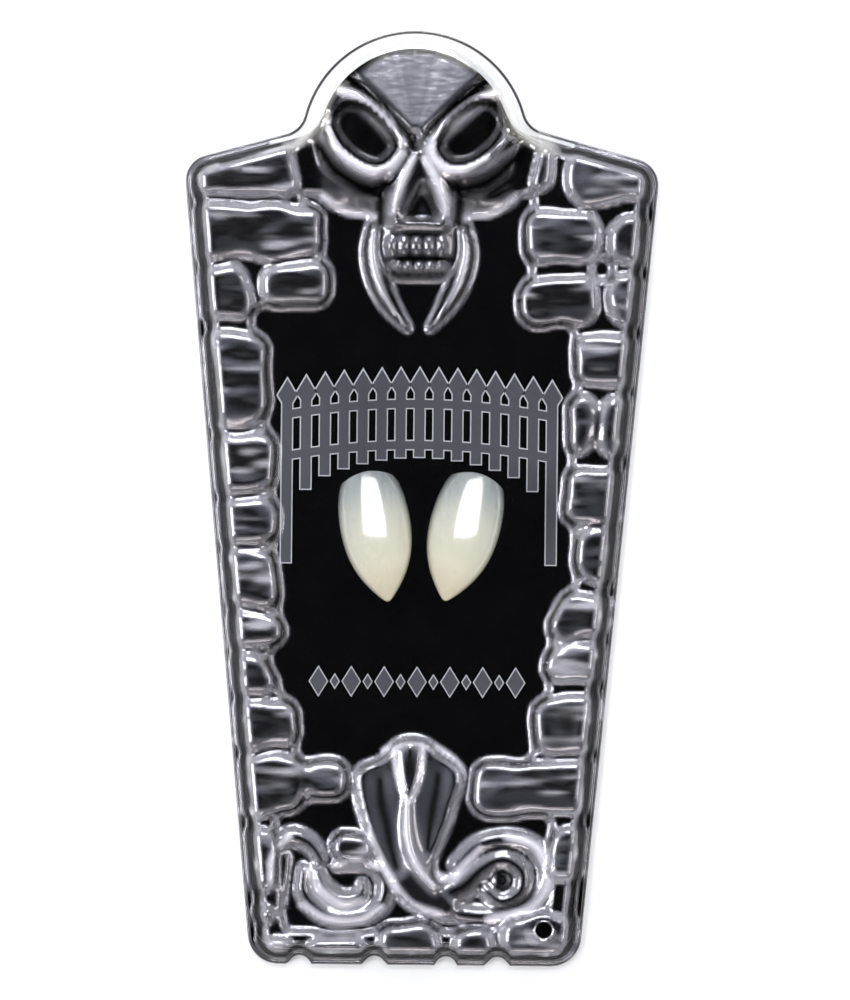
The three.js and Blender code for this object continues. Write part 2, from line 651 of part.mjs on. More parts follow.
function cardSolid() {
  const foot = NOTCH_DEPTH + SHEET + CLEARANCE;
  const shape = outline(SHEET + CLEARANCE, foot, SHEET + CARD_DOME_ROOM, CARD_ROUND - FOOT_ROUND);
  return solid(loft([lifted(shape, 0), lifted(shape, CARD_THICKNESS)]));
}

// Sections of a cap from the gum edge to the tip: along as a share of the length, wide of the
// width, deep of the depth, and back, how far the back lifts off the card, of the depth.
const CAP_SECTIONS = [
  { along: 0, wide: 0.77, deep: 0.95, back: 0 },
  { along: 0.07, wide: 0.86, deep: 0.98, back: 0 },
  { along: 0.18, wide: 0.94, deep: 1, back: 0 },
  { along: 0.3, wide: 0.985, deep: 1, back: 0 },
  { along: 0.43, wide: 1, deep: 0.96, back: 0 },
  { along: 0.56, wide: 0.955, deep: 0.87, back: 0.01 },
  { along: 0.68, wide: 0.845, deep: 0.73, back: 0.03 },
  { along: 0.79, wide: 0.665, deep: 0.55, back: 0.07 },
  { along: 0.88, wide: 0.45, deep: 0.37, back: 0.12 },
  { along: 0.95, wide: 0.24, deep: 0.2, back: 0.17 },
  { along: 1, wide: 0.03, deep: 0.03, back: 0.23 },
];

// One section of a cap: a squarish oval, drawn in by an inset. The gum edge is arched.
function capRing(section, inset, along = section.along) {
  const halfX = (section.wide * CAP_WIDTH) / 2 - inset;
  const halfZ = (section.deep * CAP_DEPTH) / 2 - inset;
  const middle = section.back * CAP_DEPTH + halfZ + inset;
  const square = 2 / 2.6;
  return Array.from({ length: CAP_SIDES }, (_, i) => {
    const angle = (i / CAP_SIDES) * 2 * Math.PI;
    const x = Math.sign(Math.cos(angle)) * Math.abs(Math.cos(angle)) ** square;
    const z = Math.sign(Math.sin(angle)) * Math.abs(Math.sin(angle)) ** square;
    const drop = GUM_ARCH * x * x * Math.max(0, 1 - 3 * section.along);
    return new THREE.Vector3(halfX * x, -along * CAP_LENGTH - drop, middle + halfZ * z);
  });
}

function capSolid() {
  const skin = CAP_SECTIONS.map((section) => capRing(section, 0));
  const hollow = CAP_SECTIONS.filter((section) => section.along < CAP_HOLLOW).map((section) =>
    capRing(section, CAP_WALL),
  );
  const mouth = capRing(CAP_SECTIONS[0], CAP_WALL, -0.1);
  return solid(loft(skin)).subtract(solid(loft([mouth, ...hollow])));
}

const CLEAR_SHEET = new THREE.MeshStandardMaterial({
  color: 0xd8dce0,
  roughness: 0.08,
  metalness: 0,
  transparent: true,
  opacity: 0.35,
});
const BLACK_CARD = new THREE.MeshStandardMaterial({ color: 0x0b0b0c, roughness: 0.5, metalness: 0 });
const IVORY = new THREE.MeshStandardMaterial({ color: 0xe2dcc4, roughness: 0.25, metalness: 0 });

// A named mesh of a solid.
function meshOf(name, made, material) {
  const { vertProperties, triVerts } = made.getMesh();
  const geometry = new THREE.BufferGeometry();
  geometry.setAttribute("position", new THREE.Float32BufferAttribute(vertProperties, 3));
  geometry.setIndex(Array.from(triVerts));
  const mesh = new THREE.Mesh(geometry, material);
  mesh.name = name;
  return mesh;
}

// Each cap lies on the card, its gum end towards the head of the pack and its tip turned in.
const CAPS = [
  { name: "fang_cap_left", u: -0.25, v: 0.054, turn: 10.1 },
  { name: "fang_cap_right", u: 0.285, v: 0.052, turn: -14.5 },
];

const pack = new THREE.Group();
pack.add(meshOf("pack_cover", coverSolid(), CLEAR_SHEET));
pack.add(meshOf("backing_card", cardSolid(), BLACK_CARD));
for (const cap of CAPS) {
  const mesh = meshOf(cap.name, capSolid(), IVORY);
  mesh.position.copy(place(cap.u, cap.v, CARD_THICKNESS + CLEARANCE));
  mesh.rotation.z = radians(cap.turn);
  pack.add(mesh);
}

export default pack;
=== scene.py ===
# %% [markdown]
# # Fang caps in a coffin-shaped pack
# Two tooth-coloured fang caps lie on a black card. A single sheet of clear plastic covers them, and
# it was drawn over a mould into stones, a skull and a snake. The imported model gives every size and
# place, so this file starts by loading it and never moves what it holds.

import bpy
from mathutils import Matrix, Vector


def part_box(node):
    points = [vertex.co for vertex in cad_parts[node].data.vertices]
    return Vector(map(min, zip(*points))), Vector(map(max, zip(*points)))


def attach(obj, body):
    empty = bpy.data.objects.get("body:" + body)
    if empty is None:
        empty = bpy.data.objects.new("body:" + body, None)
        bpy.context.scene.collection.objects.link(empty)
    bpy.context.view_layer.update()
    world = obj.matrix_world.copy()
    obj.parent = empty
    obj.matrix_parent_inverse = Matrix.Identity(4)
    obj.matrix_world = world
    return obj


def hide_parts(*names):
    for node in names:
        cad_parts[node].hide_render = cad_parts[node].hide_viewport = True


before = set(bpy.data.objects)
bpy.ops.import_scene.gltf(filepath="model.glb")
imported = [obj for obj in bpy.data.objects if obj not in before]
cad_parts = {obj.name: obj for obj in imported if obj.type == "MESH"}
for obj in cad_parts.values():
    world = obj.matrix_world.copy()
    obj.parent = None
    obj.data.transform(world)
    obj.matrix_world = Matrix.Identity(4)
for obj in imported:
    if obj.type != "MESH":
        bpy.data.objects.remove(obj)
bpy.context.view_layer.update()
print("solids:", sorted(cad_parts))

# %% [markdown]
# ## Units
# Blender works in metres and the maker thinks in millimetres. Shapes are worked out in millimetres
# as numpy arrays, and one helper turns an array into a mesh and divides by a thousand on the way.

# %% Millimetres and meshes
import math

import bpy
import numpy as np
from mathutils import Vector
from mathutils.bvhtree import BVHTree
from mathutils.geometry import delaunay_2d_cdt

MM = 0.001


def make_piece(name, points, faces, smooth=True):
    """A mesh object at the origin from points in millimetres."""
    mesh = bpy.data.meshes.new(name)
    mesh.from_pydata((np.asarray(points, float) * MM).tolist(), [], [list(map(int, f)) for f in faces])
    mesh.polygons.foreach_set("use_smooth", [smooth] * len(mesh.polygons))
    mesh.update()
    piece = bpy.data.objects.new(name, mesh)
    bpy.context.scene.collection.objects.link(piece)
    return piece


low, high = (np.array(corner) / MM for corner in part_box("pack_cover"))
print("cover, mm:", np.round(high - low, 2))

# %% [markdown]
# ## Camera
# The view is straight down on the pack, with a long lens, so that all four side walls show as thin
# strips of nearly equal width. The pack lies a little askew in the view, so the camera is rolled by
# half a degree and the pack stays square to the axes.

# %% Camera
VIEW_TALL = 136.0  # millimetres that the height of the view takes in
VIEW_CENTRE = (0.85, -0.26)
VIEW_ROLL = 0.57  # degrees
CAMERA_HEIGHT = 1200.0
SENSOR = 24.0

lens = bpy.data.cameras.new("long_lens")
lens.sensor_fit = "VERTICAL"
lens.sensor_height = SENSOR
lens.lens = SENSOR * CAMERA_HEIGHT / VIEW_TALL
camera = bpy.data.objects.new("camera", lens)
camera.location = (VIEW_CENTRE[0] * MM, VIEW_CENTRE[1] * MM, CAMERA_HEIGHT * MM)
camera.rotation_euler = (0, 0, math.radians(VIEW_ROLL))
bpy.context.scene.collection.objects.link(camera)
bpy.context.scene.camera = camera
print("focal length, mm:", round(lens.lens, 1))

# %% [markdown]
# ## A short way to write nodes
# Shader maths is easier to read as Python. A `Wire` holds one output socket and its operators add
# Math nodes, and a `Graph` adds any other node in one call.

# %% Wires
class Wire:
    """An output socket, with the operators that this file uses."""

    def __init__(self, graph, socket):
        self.graph = graph
        self.socket = socket

    def maths(self, operation, first, second):
        return self.graph.maths(operation, first, second)

    def __add__(self, other):
        return self.maths("ADD", self, other)

    __radd__ = __add__

    def __sub__(self, other):
        return self.maths("SUBTRACT", self, other)

    def __rsub__(self, other):
        return self.maths("SUBTRACT", other, self)

    def __mul__(self, other):
        return self.maths("MULTIPLY", self, other)

    __rmul__ = __mul__

    def __truediv__(self, other):
        return self.maths("DIVIDE", self, other)

    def __pow__(self, other):
        return self.maths("POWER", self, other)


print("wire helper ready")


# %% Graphs
class Graph:
    """A node tree that grows by one call for each node."""

    def __init__(self, tree):
        self.tree = tree
        tree.nodes.clear()

    def maths(self, operation, first, second):
        return self.add("ShaderNodeMath", {"operation": operation}, {0: first, 1: second})

    def add(self, kind, settings=None, inputs=None, output=0):
        node = self.tree.nodes.new(kind)
        for name, value in (settings or {}).items():
            if name == "stops":
                ramp = node.color_ramp.elements
                while len(ramp) < len(value):
                    ramp.new(0.5)
                for stop, (place, colour) in zip(ramp, value):
                    stop.position = place
                    stop.color = colour
            else:
                setattr(node, name, value)
        for key, value in (inputs or {}).items():
            if isinstance(value, Wire):
                self.tree.links.new(value.socket, node.inputs[key])
            else:
                node.inputs[key].default_value = value
        if node.outputs:
            return Wire(self, node.outputs[output])
        return node

    def mix(self, share, first, second):
        """Two colours mixed, where share is 0 for the first and 1 for the second."""
        settings = {"data_type": "RGBA"}
        return self.add("ShaderNodeMix", settings, {0: share, 6: first, 7: second}, output=2)

    def noise(self, scale, detail, stretch=(1, 1, 1)):
        """Noise in object space, in cells per metre. Stretch draws it out along an axis."""
        where = self.add("ShaderNodeTexCoord", output="Object")
        mapped = self.add("ShaderNodeMapping", inputs={"Vector": where, "Scale": stretch})
        inputs = {"Vector": mapped, "Scale": scale, "Detail": detail}
        return self.add("ShaderNodeTexNoise", inputs=inputs)


def new_material(name):
    """A material and its empty graph."""
    material = bpy.data.materials.new(name)
    material.use_nodes = True
    return material, Graph(material.node_tree)


def grey(value):
    return (value, value, value, 1)


print("node helpers ready")

# %% [markdown]
# ## Clear sheet
# Formed clear plastic is seen by what it mirrors. Its flat window is nearly invisible, and each bend
# catches the lamps. The shader therefore mixes a see-through surface with a mirror by the angle of
# view, and one attribute lifts the mirror's share where the sheet is drawn steeply, because light runs
# along inside the sheet and comes out at its bends. That attribute also carries painted highlights on
# the ridges, along the tops of the walls and round the vent, and painted shade in the creases, the
# sockets, on the carving and on the walls. An attribute named gleam lifts the share beside the dome,
# where the wall mirrors the white paper. Drawn sheet also turns a little white where it is stretched
# most, so a third attribute turns part of the mirror into white haze; along the ridges this white is a
# painted highlight.

# %% Clear sheet material
HEAD_ON = 0.032  # share of light that one face of the sheet mirrors, seen head on
AT_BENDS = 0.16  # added where the sheet is drawn steeply
GRAZING = 0.05  # added at a grazing view, and more by the gleam attribute
WOBBLE = 1300  # cells per metre of the uneven drawn plastic
NEUTRAL_SHEEN = (0.95, 0.93, 0.99, 1)
WARM_SHEEN = (0.98, 0.95, 0.87, 1)  # beside the dome, where the paper shines through

clear_sheet, graph = new_material("formed_clear_plastic")
# The first and the third attribute also carry painted highlights, and the first carries painted shade.
bend = graph.add("ShaderNodeAttribute", {"attribute_name": "bend"}, output="Fac")
gleam = graph.add("ShaderNodeAttribute", {"attribute_name": "gleam"}, output="Fac")
milk = graph.add("ShaderNodeAttribute", {"attribute_name": "milk"}, output="Fac")
wobble = graph.noise(WOBBLE, 1, stretch=(0.4, 1, 1)) * bend
bump = graph.add("ShaderNodeBump", inputs={"Strength": 0.3, "Distance": 0.0001, "Height": wobble})
facing = graph.add("ShaderNodeLayerWeight", inputs={"Blend": 0.5}, output="Facing")
see_through = graph.add("ShaderNodeBsdfTransparent", inputs={"Color": (0.985, 0.988, 0.992, 1)})
sheen = graph.mix(gleam, NEUTRAL_SHEEN, WARM_SHEEN)
mirror = graph.add(
    "ShaderNodeBsdfPrincipled",
    inputs={"Base Color": sheen, "Metallic": 1 - milk, "Roughness": 0.2, "Normal": bump},
)
at_grazing = facing**5 * (gleam * (1 - GRAZING) + GRAZING)
share = graph.add("ShaderNodeClamp", inputs={"Value": at_grazing + bend * AT_BENDS + HEAD_ON})
sheet_mix = graph.add("ShaderNodeMixShader", inputs={0: share, 1: see_through, 2: mirror})
graph.add("ShaderNodeOutputMaterial", inputs={"Surface": sheet_mix})
print(clear_sheet.name, "nodes:", len(clear_sheet.node_tree.nodes))

# %% Cut edge of the sheet
# Where the sheet was cut, at its rim and round the vent, it is painted dark and matt: a painted shade line
# along the cut edge.
dark_cut_edge, graph = new_material("cut_sheet_edge_painted_dark")
saw = graph.noise(2500, 2)
shade = graph.mix(saw, (0.030, 0.027, 0.027, 1), (0.085, 0.078, 0.078, 1))
cut = graph.add("ShaderNodeBsdfPrincipled", inputs={"Base Color": shade, "Roughness": 0.5})
graph.add("ShaderNodeOutputMaterial", inputs={"Surface": cut})
print(dark_cut_edge.name, "ready")

# %% [markdown]
# ## Outline of the pack
# The outline runs from the foot up the leaning sides to the shoulders, and over a dome at the head.
# Every corner is an arc, so the outline is built from the same few sizes as the solids, and is then
# cut into equal steps that the side walls are hung from.

# %% Outline
LENGTH = 127.0
SHOULDER_WIDTH = 64.8
FOOT_WIDTH = 44.6
SHOULDER_DROP = 18.0
SHOULDER_SLOPE = math.radians(15.4)
DOME_RADIUS = 15.5
DOME_OFFSET = -1.0
DOME_FILLET = 3.4
SHOULDER_ROUND = 3.6
FOOT_ROUND = 4.2
COLUMN_STEP = 0.45

HALF_LENGTH = LENGTH / 2
SHOULDER_Y = HALF_LENGTH - SHOULDER_DROP
DOME_Y = HALF_LENGTH - DOME_RADIUS


def half_width(y):
    return np.interp(y, [-HALF_LENGTH, SHOULDER_Y], [FOOT_WIDTH / 2, SHOULDER_WIDTH / 2])


def arc(centre, radius, start, stop, steps=40):
    angle = np.linspace(start, stop, steps)
    return np.column_stack([centre[0] + radius * np.cos(angle), centre[1] + radius * np.sin(angle)])


def right_side(dome_x):
    """The right side of the outline, from the foot edge up to the top of the dome."""
    lean = math.atan2((SHOULDER_WIDTH - FOOT_WIDTH) / 2, SHOULDER_Y + HALF_LENGTH)
    outward = np.array([math.cos(lean), -math.sin(lean)])
    upward = np.array([math.sin(SHOULDER_SLOPE), math.cos(SHOULDER_SLOPE)])
    shoulder = np.array([SHOULDER_WIDTH / 2, SHOULDER_Y])
    foot_y = -HALF_LENGTH + FOOT_ROUND
    foot_x = (outward @ shoulder - FOOT_ROUND - outward[1] * foot_y) / outward[0]
    sides = np.array([outward @ shoulder, upward @ shoulder]) - SHOULDER_ROUND
    corner = np.linalg.solve(np.array([outward, upward]), sides)
    middle = np.array([dome_x, DOME_Y])
    away = upward @ shoulder + DOME_FILLET - upward @ middle
    along = math.sqrt((DOME_RADIUS + DOME_FILLET) ** 2 - away**2)
    hollow = middle + upward * away + np.array([upward[1], -upward[0]]) * along
    turn = math.atan2(*(hollow - middle)[::-1])
    return np.vstack([
        arc((foot_x, foot_y), FOOT_ROUND, -math.pi / 2, -lean),
        arc(corner, SHOULDER_ROUND, -lean, math.pi / 2 - SHOULDER_SLOPE),
        arc(hollow, DOME_FILLET, 1.5 * math.pi - SHOULDER_SLOPE, turn + math.pi),
        arc(middle, DOME_RADIUS, turn, math.pi / 2)[1:],
    ])


right = right_side(DOME_OFFSET)
left = right_side(-DOME_OFFSET)[::-1] * (-1, 1)
loop = np.vstack([right, left[1:], right[:1]])
run = np.concatenate([[0], np.cumsum(np.linalg.norm(np.diff(loop, axis=0), axis=1))])
columns = round(run[-1] / COLUMN_STEP)
stations = np.arange(columns) * run[-1] / columns
edge = np.column_stack([np.interp(stations, run, loop[:, k]) for k in (0, 1)])
ahead = np.roll(edge, -2, axis=0) - np.roll(edge, 2, axis=0)
ahead /= np.linalg.norm(ahead, axis=1)[:, None]
inward = np.column_stack([-ahead[:, 1], ahead[:, 0]])
print("outline:", round(run[-1], 1), "mm in", columns, "columns")

# %% [markdown]
# ## Height map of the mould
# A formed sheet has one height over each spot of the card, so it can be described by a map of
# heights. Every edge on it is soft, because warm plastic can't follow a sharp corner, so the map is
# made of a few tools: a blur, seeded noise, soft steps, and masks that grow or shrink by a distance.
# Blurs and growth are done in frequency space, where each is one product.

# %% Blur, noise and masks
PITCH = 0.2

grid_x = np.arange(-34, 34, PITCH)
grid_y = np.arange(-65, 65, PITCH)
map_x, map_y = np.meshgrid(grid_x, grid_y)
around_x, around_y = np.meshgrid(*(np.fft.fftfreq(len(g)) * len(g) * PITCH for g in (grid_x, grid_y)))
random = np.random.default_rng(29)


def blur(field, across, along=None):
    """A field blurred by widths in millimetres."""
    along = across if along is None else along
    fx = np.fft.rfftfreq(field.shape[1], PITCH)
    fy = np.fft.fftfreq(field.shape[0], PITCH)[:, None]
    kernel = np.exp(-2 * math.pi**2 * ((fx * across) ** 2 + (fy * along) ** 2))
    return np.fft.irfft2(np.fft.rfft2(field) * kernel, field.shape)


def grown(mask, distance):
    """A mask with its edge moved outward."""
    disc = (np.hypot(around_x, around_y) <= distance).astype(float)
    return np.fft.irfft2(np.fft.rfft2(mask.astype(float)) * np.fft.rfft2(disc), mask.shape) > 0.5


def shrunk(mask, distance):
    return ~grown(~mask, distance)


def rough(across, along=None):
    """Seeded noise of about unit height whose lumps have the given widths."""
    field = blur(random.standard_normal(map_x.shape), across, along)
    return field / field.std()


def soft_step(field, start=0.0, stop=1.0):
    share = np.clip((field - start) / (stop - start), 0, 1)
    return share * share * (3 - 2 * share)


def rounded_edge(field, start, stop):
    """Steep where the field passes start, then rounding off to flat at stop."""
    return 1 - (1 - np.clip((field - start) / (stop - start), 0, 1)) ** 2.2


def soft_max(first, second, round_off=0.5):
    """The higher of two surfaces, with a rounded valley between them."""
    overlap = np.maximum(round_off - np.abs(first - second), 0) / round_off
    return np.maximum(first, second) + overlap**2 * round_off / 4


print("map:", map_x.shape, "spots of", PITCH, "mm")

# %% [markdown]
# ## Reading the solid cover
# The map's plan comes from the solid cover: rays from above find where the stones stand and where
# the mortar bed ends. Near the outline they are read a little further in, so that each stone runs
# out to its wall, and a slow wander of the rays gives the stones their hand-hewn sides.

# %% Rays from above
WALL_ZONE = 3.3  # the walls take this much of the plan along the outline
WINDOW, BED, BLOCK = 9.2, 11.4, 13.0
WANDER = 0.3
BATCH = 8000  # spots that are handled at once
RAY_START = 30

inset = np.empty(map_x.size)
pulled = np.empty((map_x.size, 2))
spots = np.column_stack([map_x.ravel(), map_y.ravel()])
for start in range(0, len(spots), BATCH):
    chunk = spots[start : start + BATCH]
    nearest = (
        (chunk[:, None, 0] - edge[None, :, 0]) ** 2 + (chunk[:, None, 1] - edge[None, :, 1]) ** 2
    ).argmin(axis=1)
    away = ((chunk - edge[nearest]) * inward[nearest]).sum(axis=1)
    inset[start : start + BATCH] = away
    step = np.maximum(away, WALL_ZONE) - away
    pulled[start : start + BATCH] = chunk + inward[nearest] * step[:, None]
pulled += WANDER * np.column_stack([rough(1.6).ravel(), rough(1.6).ravel()])

cover_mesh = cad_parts["pack_cover"].data
cover_points = [v.co / MM for v in cover_mesh.vertices]
solid_tree = BVHTree.FromPolygons(cover_points, [p.vertices[:] for p in cover_mesh.polygons])
down = Vector((0, 0, -1))
hits = [solid_tree.ray_cast(Vector((x, y, RAY_START)), down)[0] for x, y in pulled]
solid_height = np.array([hit.z if hit else BLOCK for hit in hits]).reshape(map_x.shape)
inset = inset.reshape(map_x.shape)
print("heights, mm:", solid_height.min().round(1), solid_height.max().round(1))

# %% [markdown]
# ## Stones and mortar
# The skull and the snake are modelled further down, so their patches are cleared from the
# ray map first. Two small stones beside the snake stand in its patch and are put back one by one.
# Shrinking and growing back rounds the corners of each stone but keeps the narrow joints open. The
# haze map starts here too: it says how milky the sheet looks where it isn't bent at all.

# %% Stones and mortar
LONE_STONES = [
    {"x": -11.9, "y": -38.0, "wide": 5.4, "tall": 5.0, "turn": 0},
    {"x": -8.5, "y": -47.3, "wide": 5.6, "tall": 4.0, "turn": -8},
]
SNAKE_PATCH = [(-14.6, -31), (-14.6, -44), (-17.4, -45.5), (-17.4, -56.6), (11.2, -56.6),
               (17.4, -55.6), (17.4, -44), (6.6, -44), (6.6, -31)]
SKULL_TOP = 40.7  # above this the skull stands on the bed, below it on the window
OVER_BED = 10.3  # a ray that ends higher than this has met the mortar bed or a stone
OVER_STONE = 12.0  # and higher than this, a stone
CORNER = 1.5  # radius of a stone's corners in plan
SLIM = 0.5  # the same for stones that are narrower than that allows
BED_MARGIN = 1.7  # the bed reaches this far round a stone
BED_ROUND = 1.4  # and is drawn back by this much, which rounds its hollows
CROWNED = 0.45  # height of a stone's top that is domed
STONE_HAZE = 0.8  # bend on the flat tops of the stones
STREAK_HAZE = 1.7  # added in the tool marks


def inside(polygon, x, y):
    """Where points lie inside a polygon, by counting the sides that a ray crosses."""
    odd = np.zeros(x.shape, bool)
    for (x0, y0), (x1, y1) in zip(polygon, polygon[1:] + polygon[:1]):
        crosses = (y0 > y) != (y1 > y)
        with np.errstate(divide="ignore", invalid="ignore"):
            odd ^= crosses & (x < (x1 - x0) * (y - y0) / (y1 - y0) + x0)
    return odd


def turned(x, y, row):
    """Map places seen from a row's own centre and turn."""
    angle = math.radians(row["turn"])
    dx, dy = x - row["x"], y - row["y"]
    return dx * math.cos(angle) + dy * math.sin(angle), dy * math.cos(angle) - dx * math.sin(angle)


snake_patch = inside(SNAKE_PATCH, map_x, map_y)
dome_patch = (np.hypot(map_x - DOME_OFFSET, map_y - DOME_Y) < DOME_RADIUS + 1) & (map_y > SKULL_TOP)
chin_patch = (map_x > -12.2) & (map_x < 13.4) & (map_y > 20) & (map_y <= SKULL_TOP)
stones = (solid_height > OVER_STONE) & ~snake_patch & ~dome_patch & ~chin_patch
for row in LONE_STONES:
    across, along = turned(map_x, map_y, row)
    stones |= np.maximum(np.abs(across) - row["wide"] / 2, np.abs(along) - row["tall"] / 2) < 0
stones &= (solid_height > OVER_BED) | snake_patch
wide_stones = grown(shrunk(stones, CORNER), CORNER)
slim_stones = grown(shrunk(stones & ~wide_stones, SLIM), SLIM)
stones = wide_stones | slim_stones
bed = shrunk(grown(stones, BED_MARGIN), BED_ROUND)
bed |= (solid_height > OVER_BED) & ((inset < WALL_ZONE + 2) | dome_patch) & ~snake_patch

stone_share = rounded_edge(blur(stones.astype(float), 0.75), 0.38, 0.98)
bed_share = rounded_edge(blur(bed.astype(float), 0.6), 0.3, 0.97)
crown = blur(stones.astype(float), 1.5)
chisel = 0.09 * rough(2.2, 0.7) + 0.13 * rough(1.6) + 0.035 * rough(1.3, 0.4)
top = WINDOW + (BED - WINDOW) * bed_share + (BLOCK - BED - CROWNED) * stone_share
top += stone_share * (CROWNED * crown + chisel)
streaks = soft_step(rough(1.7, 0.35), 0.3, 2.2)
haze_and_painted_highlights = stone_share * (STONE_HAZE + STREAK_HAZE * streaks)
print("stones cover", round(stones.sum() * PITCH**2), "mm2 and the bed", round(bed.sum() * PITCH**2), "mm2")

# %% [markdown]
# ## Strokes
# The carving is drawn with three tools: a mound is a rounded lump, a body is a tapered tube lying on
# the window, and a stroke raises or sinks a soft line. Lines are given by a few points and rounded
# with a Catmull-Rom spline.

# %% Mounds, bodies and strokes
def rounded_line(points, steps=10):
    """A smooth line through the points. Columns past the first two, such as widths, follow along."""
    rows = np.asarray(points, float)
    rows = np.vstack([2 * rows[0] - rows[1], rows, 2 * rows[-1] - rows[-2]])
    out = []
    for a, b, c, d in zip(rows, rows[1:], rows[2:], rows[3:]):
        for t in np.arange(steps) / steps:
            out.append(0.5 * (2 * b + (c - a) * t + (2 * a - 5 * b + 4 * c - d) * t**2
                              + (3 * b - a - 3 * c + d) * t**3))
    return np.array([*out, rows[-2]])


def nearness(points):
    """Distance to a rounded line over its width there, on the whole map. 1 is the line's edge."""
    line = rounded_line(points)
    reach = np.full(map_x.shape, 9.0)
    for a, b in zip(line, line[1:]):
        width = max(a[2], b[2])
        rows = slice(*np.searchsorted(grid_y, [min(a[1], b[1]) - width, max(a[1], b[1]) + width]))
        cells = slice(*np.searchsorted(grid_x, [min(a[0], b[0]) - width, max(a[0], b[0]) + width]))
        x, y = map_x[rows, cells], map_y[rows, cells]
        along = b[:2] - a[:2]
        t = np.clip(((x - a[0]) * along[0] + (y - a[1]) * along[1]) / max(along @ along, 1e-9), 0, 1)
        away = np.hypot(x - a[0] - t * along[0], y - a[1] - t * along[1])
        reach[rows, cells] = np.minimum(reach[rows, cells], away / (a[2] + (b[2] - a[2]) * t))
    return reach


def stroke(points, rise):
    """A soft ridge, or a groove where the rise is negative."""
    return rise * np.cos(np.minimum(nearness(points), 1) * math.pi / 2) ** 2


def body(points, rise, flat=2.0):
    """Height of a tube over the window. A higher flat squares its section off."""
    return rise * (1 - np.minimum(nearness(points), 1) ** flat) ** (1 / 2)


def mound(x, y, wide, long, rise, turn=0, square=2.0, flat=1.0):
    """Height of a rounded lump with the given half sizes, squarer in plan or flatter on top."""
    across, along = turned(map_x, map_y, {"x": x, "y": y, "turn": turn})
    reach = np.abs(across / wide) ** square + np.abs(along / long) ** square
    return rise * np.sqrt((1 - reach**flat).clip(0))


def painted(lines, softness=1.5):
    """How strongly each spot is covered by any of the lines, from 0 to 1."""
    return max_of([(1 - np.minimum(nearness(line), 1)) ** (1 / softness) for line in lines])


def max_of(fields):
    return np.max(fields, axis=0)


print("carving tools ready")

# %% [markdown]
# ## Skull
# The skull fills the dome and hangs into the window with two long fangs. Lumps give its masses, pits
# its sockets and nose, and strokes the brows, lids, cheekbones and creases. Height alone doesn't show
# in clear plastic, so the deepest creases and the palest ridges are drawn a second time, as lines of
# painted shade that later darken the sheet and lines of painted highlight that whiten it.

# %% Masses of the skull
SKULL_MASSES = [
    {"x": -0.9, "y": 49.6, "wide": 14.4, "long": 11.7, "rise": 6.0, "square": 2.2, "flat": 1.9},
    {"x": -0.4, "y": 42.0, "wide": 7.6, "long": 8.5, "rise": 5.2, "square": 2.0},
    {"x": -9.2, "y": 43.4, "wide": 5.6, "long": 5.0, "rise": 2.8, "square": 2.6},
    {"x": 8.4, "y": 43.4, "wide": 5.4, "long": 5.0, "rise": 2.8, "square": 2.6},
    {"x": -0.4, "y": 34.6, "wide": 6.9, "long": 5.4, "rise": 3.9, "square": 3.0},
]
FOREHEAD = [(-1.0, 48.2), (-5.0, 52.4), (-9.4, 57.2), (-6.2, 60.4), (-1.0, 61.8), (4.4, 60.4),
            (7.8, 57.0), (3.2, 52.2)]
FOREHEAD_RISE = 6.3  # where the forehead starts, between the brows
FOREHEAD_FALL = 0.27  # from there towards the top of the head
SOCKETS = [
    {"x": -7.6, "y": 48.9, "wide": 5.1, "long": 3.2, "turn": -41},
    {"x": 6.4, "y": 49.2, "wide": 5.1, "long": 3.3, "turn": 43},
]
SKULL_FANGS = [
    [(-6.3, 36.5, 0.9), (-6.6, 33.0, 1.3), (-5.6, 29.0, 1.45), (-3.9, 25.6, 1.0), (-1.6, 22.7, 0.2)],
    [(5.6, 36.5, 0.9), (6.0, 33.0, 1.3), (5.0, 29.0, 1.4), (3.2, 25.6, 0.95), (1.2, 22.7, 0.2)],
]
